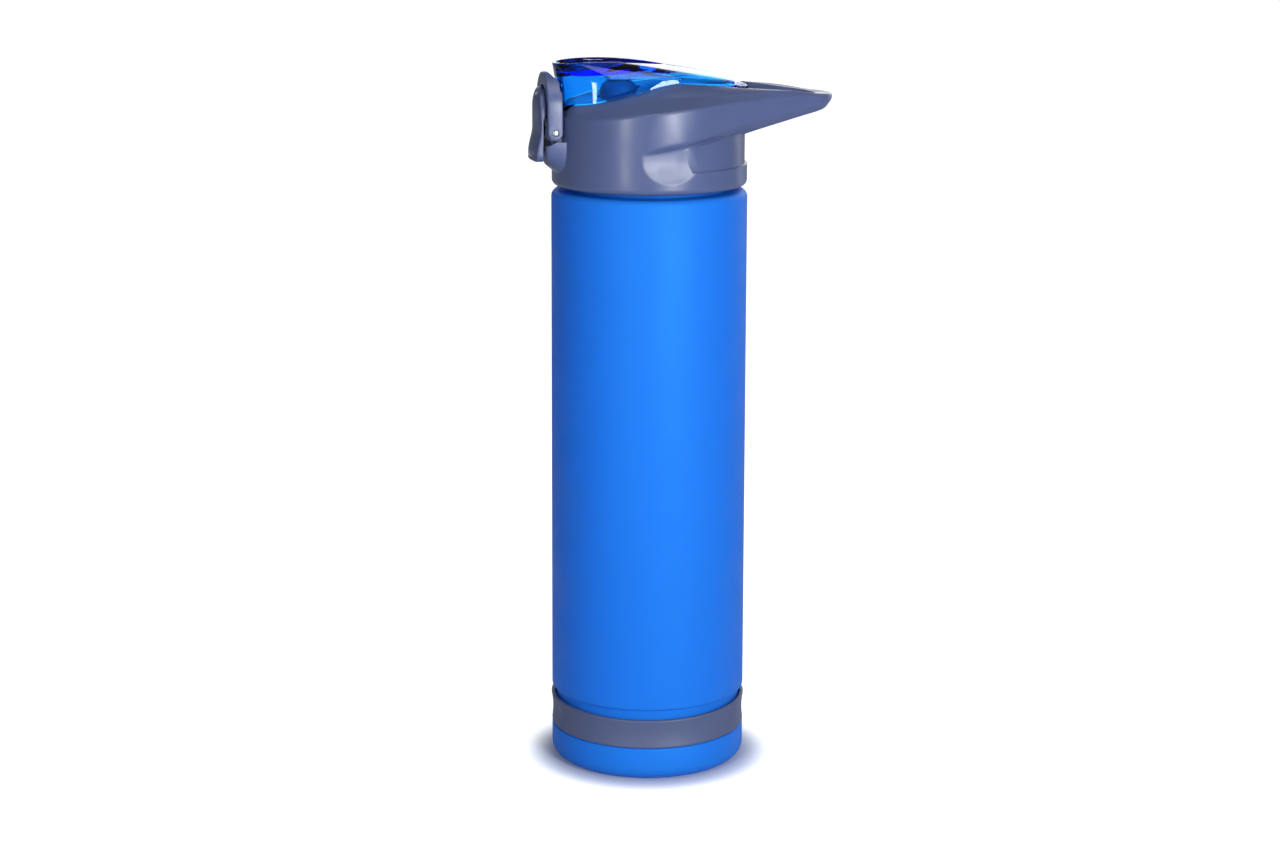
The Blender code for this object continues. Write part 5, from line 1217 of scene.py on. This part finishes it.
frosted = moulded("frosted_blue", (0.017, 0.215, 0.84), 0.54, swing=0.03, patch=25.0, grain=1500.0, depth=0.000005,
                  Transmission_Weight=0.4, IOR=1.5, Specular_IOR_Level=0.8, Specular_Tint=(0.1, 0.65, 0.85, 1.0))
clear = moulded("clear_blue", (0.11, 0.68, 0.99), 0.03, swing=0.01, shift=0.01, grain=200.0, depth=0.000003,
                Transmission_Weight=1.0, IOR=1.45)
looks = {
    "frosted_blue": absorbing(frosted, (0.1, 0.5, 1.0), 150.0),
    "clear_blue": absorbing(clear, (0.02, 0.58, 0.98), 420.0),
    "cap_plastic": moulded("slate_plastic", (0.064, 0.086, 0.190), 0.33, grain=350.0, depth=0.000004, edge=0.0004),
    "band_silicone": moulded("band_silicone", (0.062, 0.080, 0.165), 0.5, swing=0.1, grain=700.0, depth=0.00001),
    "liner_plastic": moulded("liner_plastic", (0.16, 0.18, 0.28), 0.4),
    "seal_silicone": moulded("seal_silicone", (0.75, 0.77, 0.8), 0.5),
    "steel": moulded("steel", (0.40, 0.41, 0.45), 0.35, patch=300.0, grain=5000.0, depth=0.00001, Metallic=1.0),
}

# Pieces, each with its body, its material slot and the node that it stands for

DOWN, UP = radians(-90.0), radians(80.0)
HINGE_LEGS = (0.0038, 0.0038)
BUTTON_LEGS = (0.0030, 0.0012)

dress(turned("bottle", bottle_outline(), warp=neck_warp), "bottle", "frosted_blue", "bottle_body")
dress(turned("band", band_outline(), closed=True, warp=band_warp), "bottle", "band_silicone", "grip_band")
dress(make_cap(), "cap", "cap_plastic", "cap_shell")
dress(make_liner(), "cap", "liner_plastic", "thread_liner")
dress(make_liner_thread(), "cap", "liner_plastic")
dress(turned("gasket", gasket_outline(), closed=True), "seal", "seal_silicone", "cap_gasket")
dress(turned("spout", spout_outline(), SMALL_STEPS, SPOUT_CENTRE, closed=True), "cap", "liner_plastic", "drink_spout")
dress(make_cover(), "cover", "clear_blue", "flip_cover")
dress(turned("stopper", stopper_outline(), SMALL_STEPS, SPOUT_CENTRE), "cover", "seal_silicone", "spout_plug")
dress(make_ring(), "ring", "cap_plastic", "lock_ring")
dress(make_paddle(), "button", "cap_plastic", "latch_button")
dress(make_pin("rear_pin", HINGE, HINGE_PIN_RADIUS, KNUCKLE_OUTER - PIN_DOME), "cap", "steel", "hinge_pin")
dress(make_pin("cheek_pin", PIN, FRONT_PIN_RADIUS, RING_HALF_WIDTH - PIN_DOME / 2), "cap", "steel", "front_pin")
dress(make_spring("cover_spring", HINGE, HINGE_COIL_RADIUS, HINGE_WIRE, (KNUCKLE_THIN - KNUCKLE_OUTER, -KNUCKLE_INNER),
                  (DOWN, UP), HINGE_LEGS), "cap", "steel", "hinge_spring")
dress(make_spring("paddle_spring", PIN, BUTTON_COIL_RADIUS, BUTTON_WIRE, (LUG_NARROW_X, LUG_HALF_WIDTH),
                  (DOWN, DOWN), BUTTON_LEGS), "button", "steel", "button_spring")

# Floor and backdrop: white to the camera, dimmer as a light on the object, with a painted shadow round the base where
# the floor's white glow is taken away

FLOOR_SIZE = 8.0
FLOOR_DROP = 0.0001
FLOOR_ROUGHNESS = 0.9
# The floor's own colour, dark and bluish: it shows mainly near the base, where it gives the painted shadow its blue
# tone
FLOOR_COLOUR = (0.42, 0.48, 0.63)
# Painted shadow: the floor's white glow is low out to the inner radius and full beyond the outer one, darkening the
# floor round the base
PAINTED_SHADOW_GLOW = 0.04
PAINTED_SHADOW_INNER = 0.0345
PAINTED_SHADOW_OUTER = 0.050
FLOOR_MIRRORED = 0.2
ROOM_LIGHT = 0.12
BACKDROP_PLACE = (0.35, -0.94, 0.1)
BACKDROP_EDGE = 0.85
BACKDROP_FULL = 0.985


def from_camera(side, away, height):
    """A place in the camera's frame: to its right, from the object towards it, and up."""
    return Matrix.Rotation(CAMERA_AZIMUTH, 3, "Z") @ Vector((side, -away, height))


def seen(tree, mirrored):
    """1 where the camera looks, also through something clear; mirrored where a gloss does; 0 for other light."""
    path = add_node(tree, "LightPath").outputs
    direct = add_node(tree, "Math", path["Is Camera Ray"], path["Is Transmission Ray"], operation="MAXIMUM")
    glossy = add_node(tree, "Math", path["Is Glossy Ray"], mirrored, operation="MULTIPLY")
    return add_node(tree, "Math", direct.outputs[0], glossy.outputs[0], operation="MAXIMUM").outputs[0]


half = FLOOR_SIZE / 2
floor_mesh = bpy.data.meshes.new("floor")
floor_mesh.from_pydata([(x, y, -FLOOR_DROP) for x, y in rectangle((-half, -half), (half, half))], [], [(0, 1, 2, 3)])
floor = placed("floor", floor_mesh)
floor_look = bpy.data.materials.new("floor")
floor_look.use_nodes = True
tree = floor_look.node_tree
shader = tree.nodes["Principled BSDF"].inputs
shader["Base Color"].default_value = (*FLOOR_COLOUR, 1.0)
shader["Roughness"].default_value = FLOOR_ROUGHNESS
shader["Specular IOR Level"].default_value = 0.0
shader["Emission Color"].default_value = WHITE
place = add_node(tree, "TexCoord").outputs["Object"]
length = add_node(tree, "VectorMath", place, operation="LENGTH").outputs["Value"]
# Painted shadow: the glow is low near the base and rises to full further out
painted_shadow_fade = add_node(tree, "MapRange", length, PAINTED_SHADOW_INNER, PAINTED_SHADOW_OUTER, PAINTED_SHADOW_GLOW, 1.0, interpolation_type="SMOOTHSTEP")
shown = add_node(tree, "Math", painted_shadow_fade.outputs["Result"], seen(tree, FLOOR_MIRRORED), operation="MULTIPLY")
feed(tree, shader["Emission Strength"], shown.outputs[0])
floor_mesh.materials.append(floor_look)

world = bpy.data.worlds.new("studio")
bpy.context.scene.world = world
world.use_nodes = True
tree = world.node_tree
background = tree.nodes["Background"].inputs
background["Color"].default_value = WHITE
place = add_node(tree, "TexCoord").outputs["Generated"]
towards = from_camera(*BACKDROP_PLACE).normalized()
facing = add_node(tree, "VectorMath", place, towards, operation="DOT_PRODUCT").outputs["Value"]
mirrored = add_node(tree, "MapRange", facing, BACKDROP_EDGE, BACKDROP_FULL, interpolation_type="SMOOTHSTEP")
level = add_node(tree, "Mix", seen(tree, mirrored.outputs["Result"]), A=ROOM_LIGHT, B=1.0)
feed(tree, background["Strength"], level.outputs["Result"])

# Camera and lights


def camera_matrix():
    turn = Matrix.Rotation(CAMERA_AZIMUTH, 3, "Z")
    pitch, yaw = CAMERA_PITCH, CAMERA_YAW
    ahead = Vector((sin(yaw) * cos(pitch), cos(yaw) * cos(pitch), -sin(pitch)))
    right = Vector((cos(yaw), -sin(yaw), 0.0))
    up = right.cross(ahead)
    rolled_right = right * cos(CAMERA_ROLL) + up * sin(CAMERA_ROLL)
    rolled_up = up * cos(CAMERA_ROLL) - right * sin(CAMERA_ROLL)
    spot = from_camera(0.0, CAMERA_DISTANCE, CAMERA_HEIGHT)
    columns = [turn @ rolled_right, turn @ rolled_up, turn @ -ahead, spot]
    return Matrix([[column[row] for column in columns] for row in range(3)] + [[0, 0, 0, 1]])


cam_data = bpy.data.cameras.new("camera")
cam_data.sensor_width = SENSOR
cam_data.lens = SENSOR * FOCAL_PIXELS / IMAGE_WIDTH
cam = placed("camera", cam_data)
cam.matrix_world = camera_matrix()
bpy.context.scene.camera = cam

# Each light's name, place from the camera, height that it aims at, width and height, and power
LIGHTS = (
    ("key", (0.56, 1.06, 0.42), 0.15, (0.36, 0.8), 15.5),
    ("strip", (-0.55, 1.07, 0.35), 0.15, (0.12, 1.0), 6.0),
    ("rim", (0.85, -0.85, 0.3), 0.15, (0.12, 1.0), 1.0),
    ("back", (0.1, -1.2, 0.5), 0.24, (1.4, 0.4), 3.0),
    ("top", (0.1, 0.3, 1.15), 0.2, (0.6, 0.6), 3.0),
)
for name, spot, aim, size, power in LIGHTS:
    data = bpy.data.lights.new(name, "AREA")
    data.shape = "RECTANGLE"
    data.size, data.size_y = size
    data.energy = power
    lamp = placed(name, data)
    lamp.location = from_camera(*spot)
    lamp.rotation_euler = (Vector((0, 0, aim)) - from_camera(*spot)).to_track_quat("-Z", "Y").to_euler()

bpy.context.scene.view_settings.view_transform = "Standard"

bpy.context.view_layer.update()
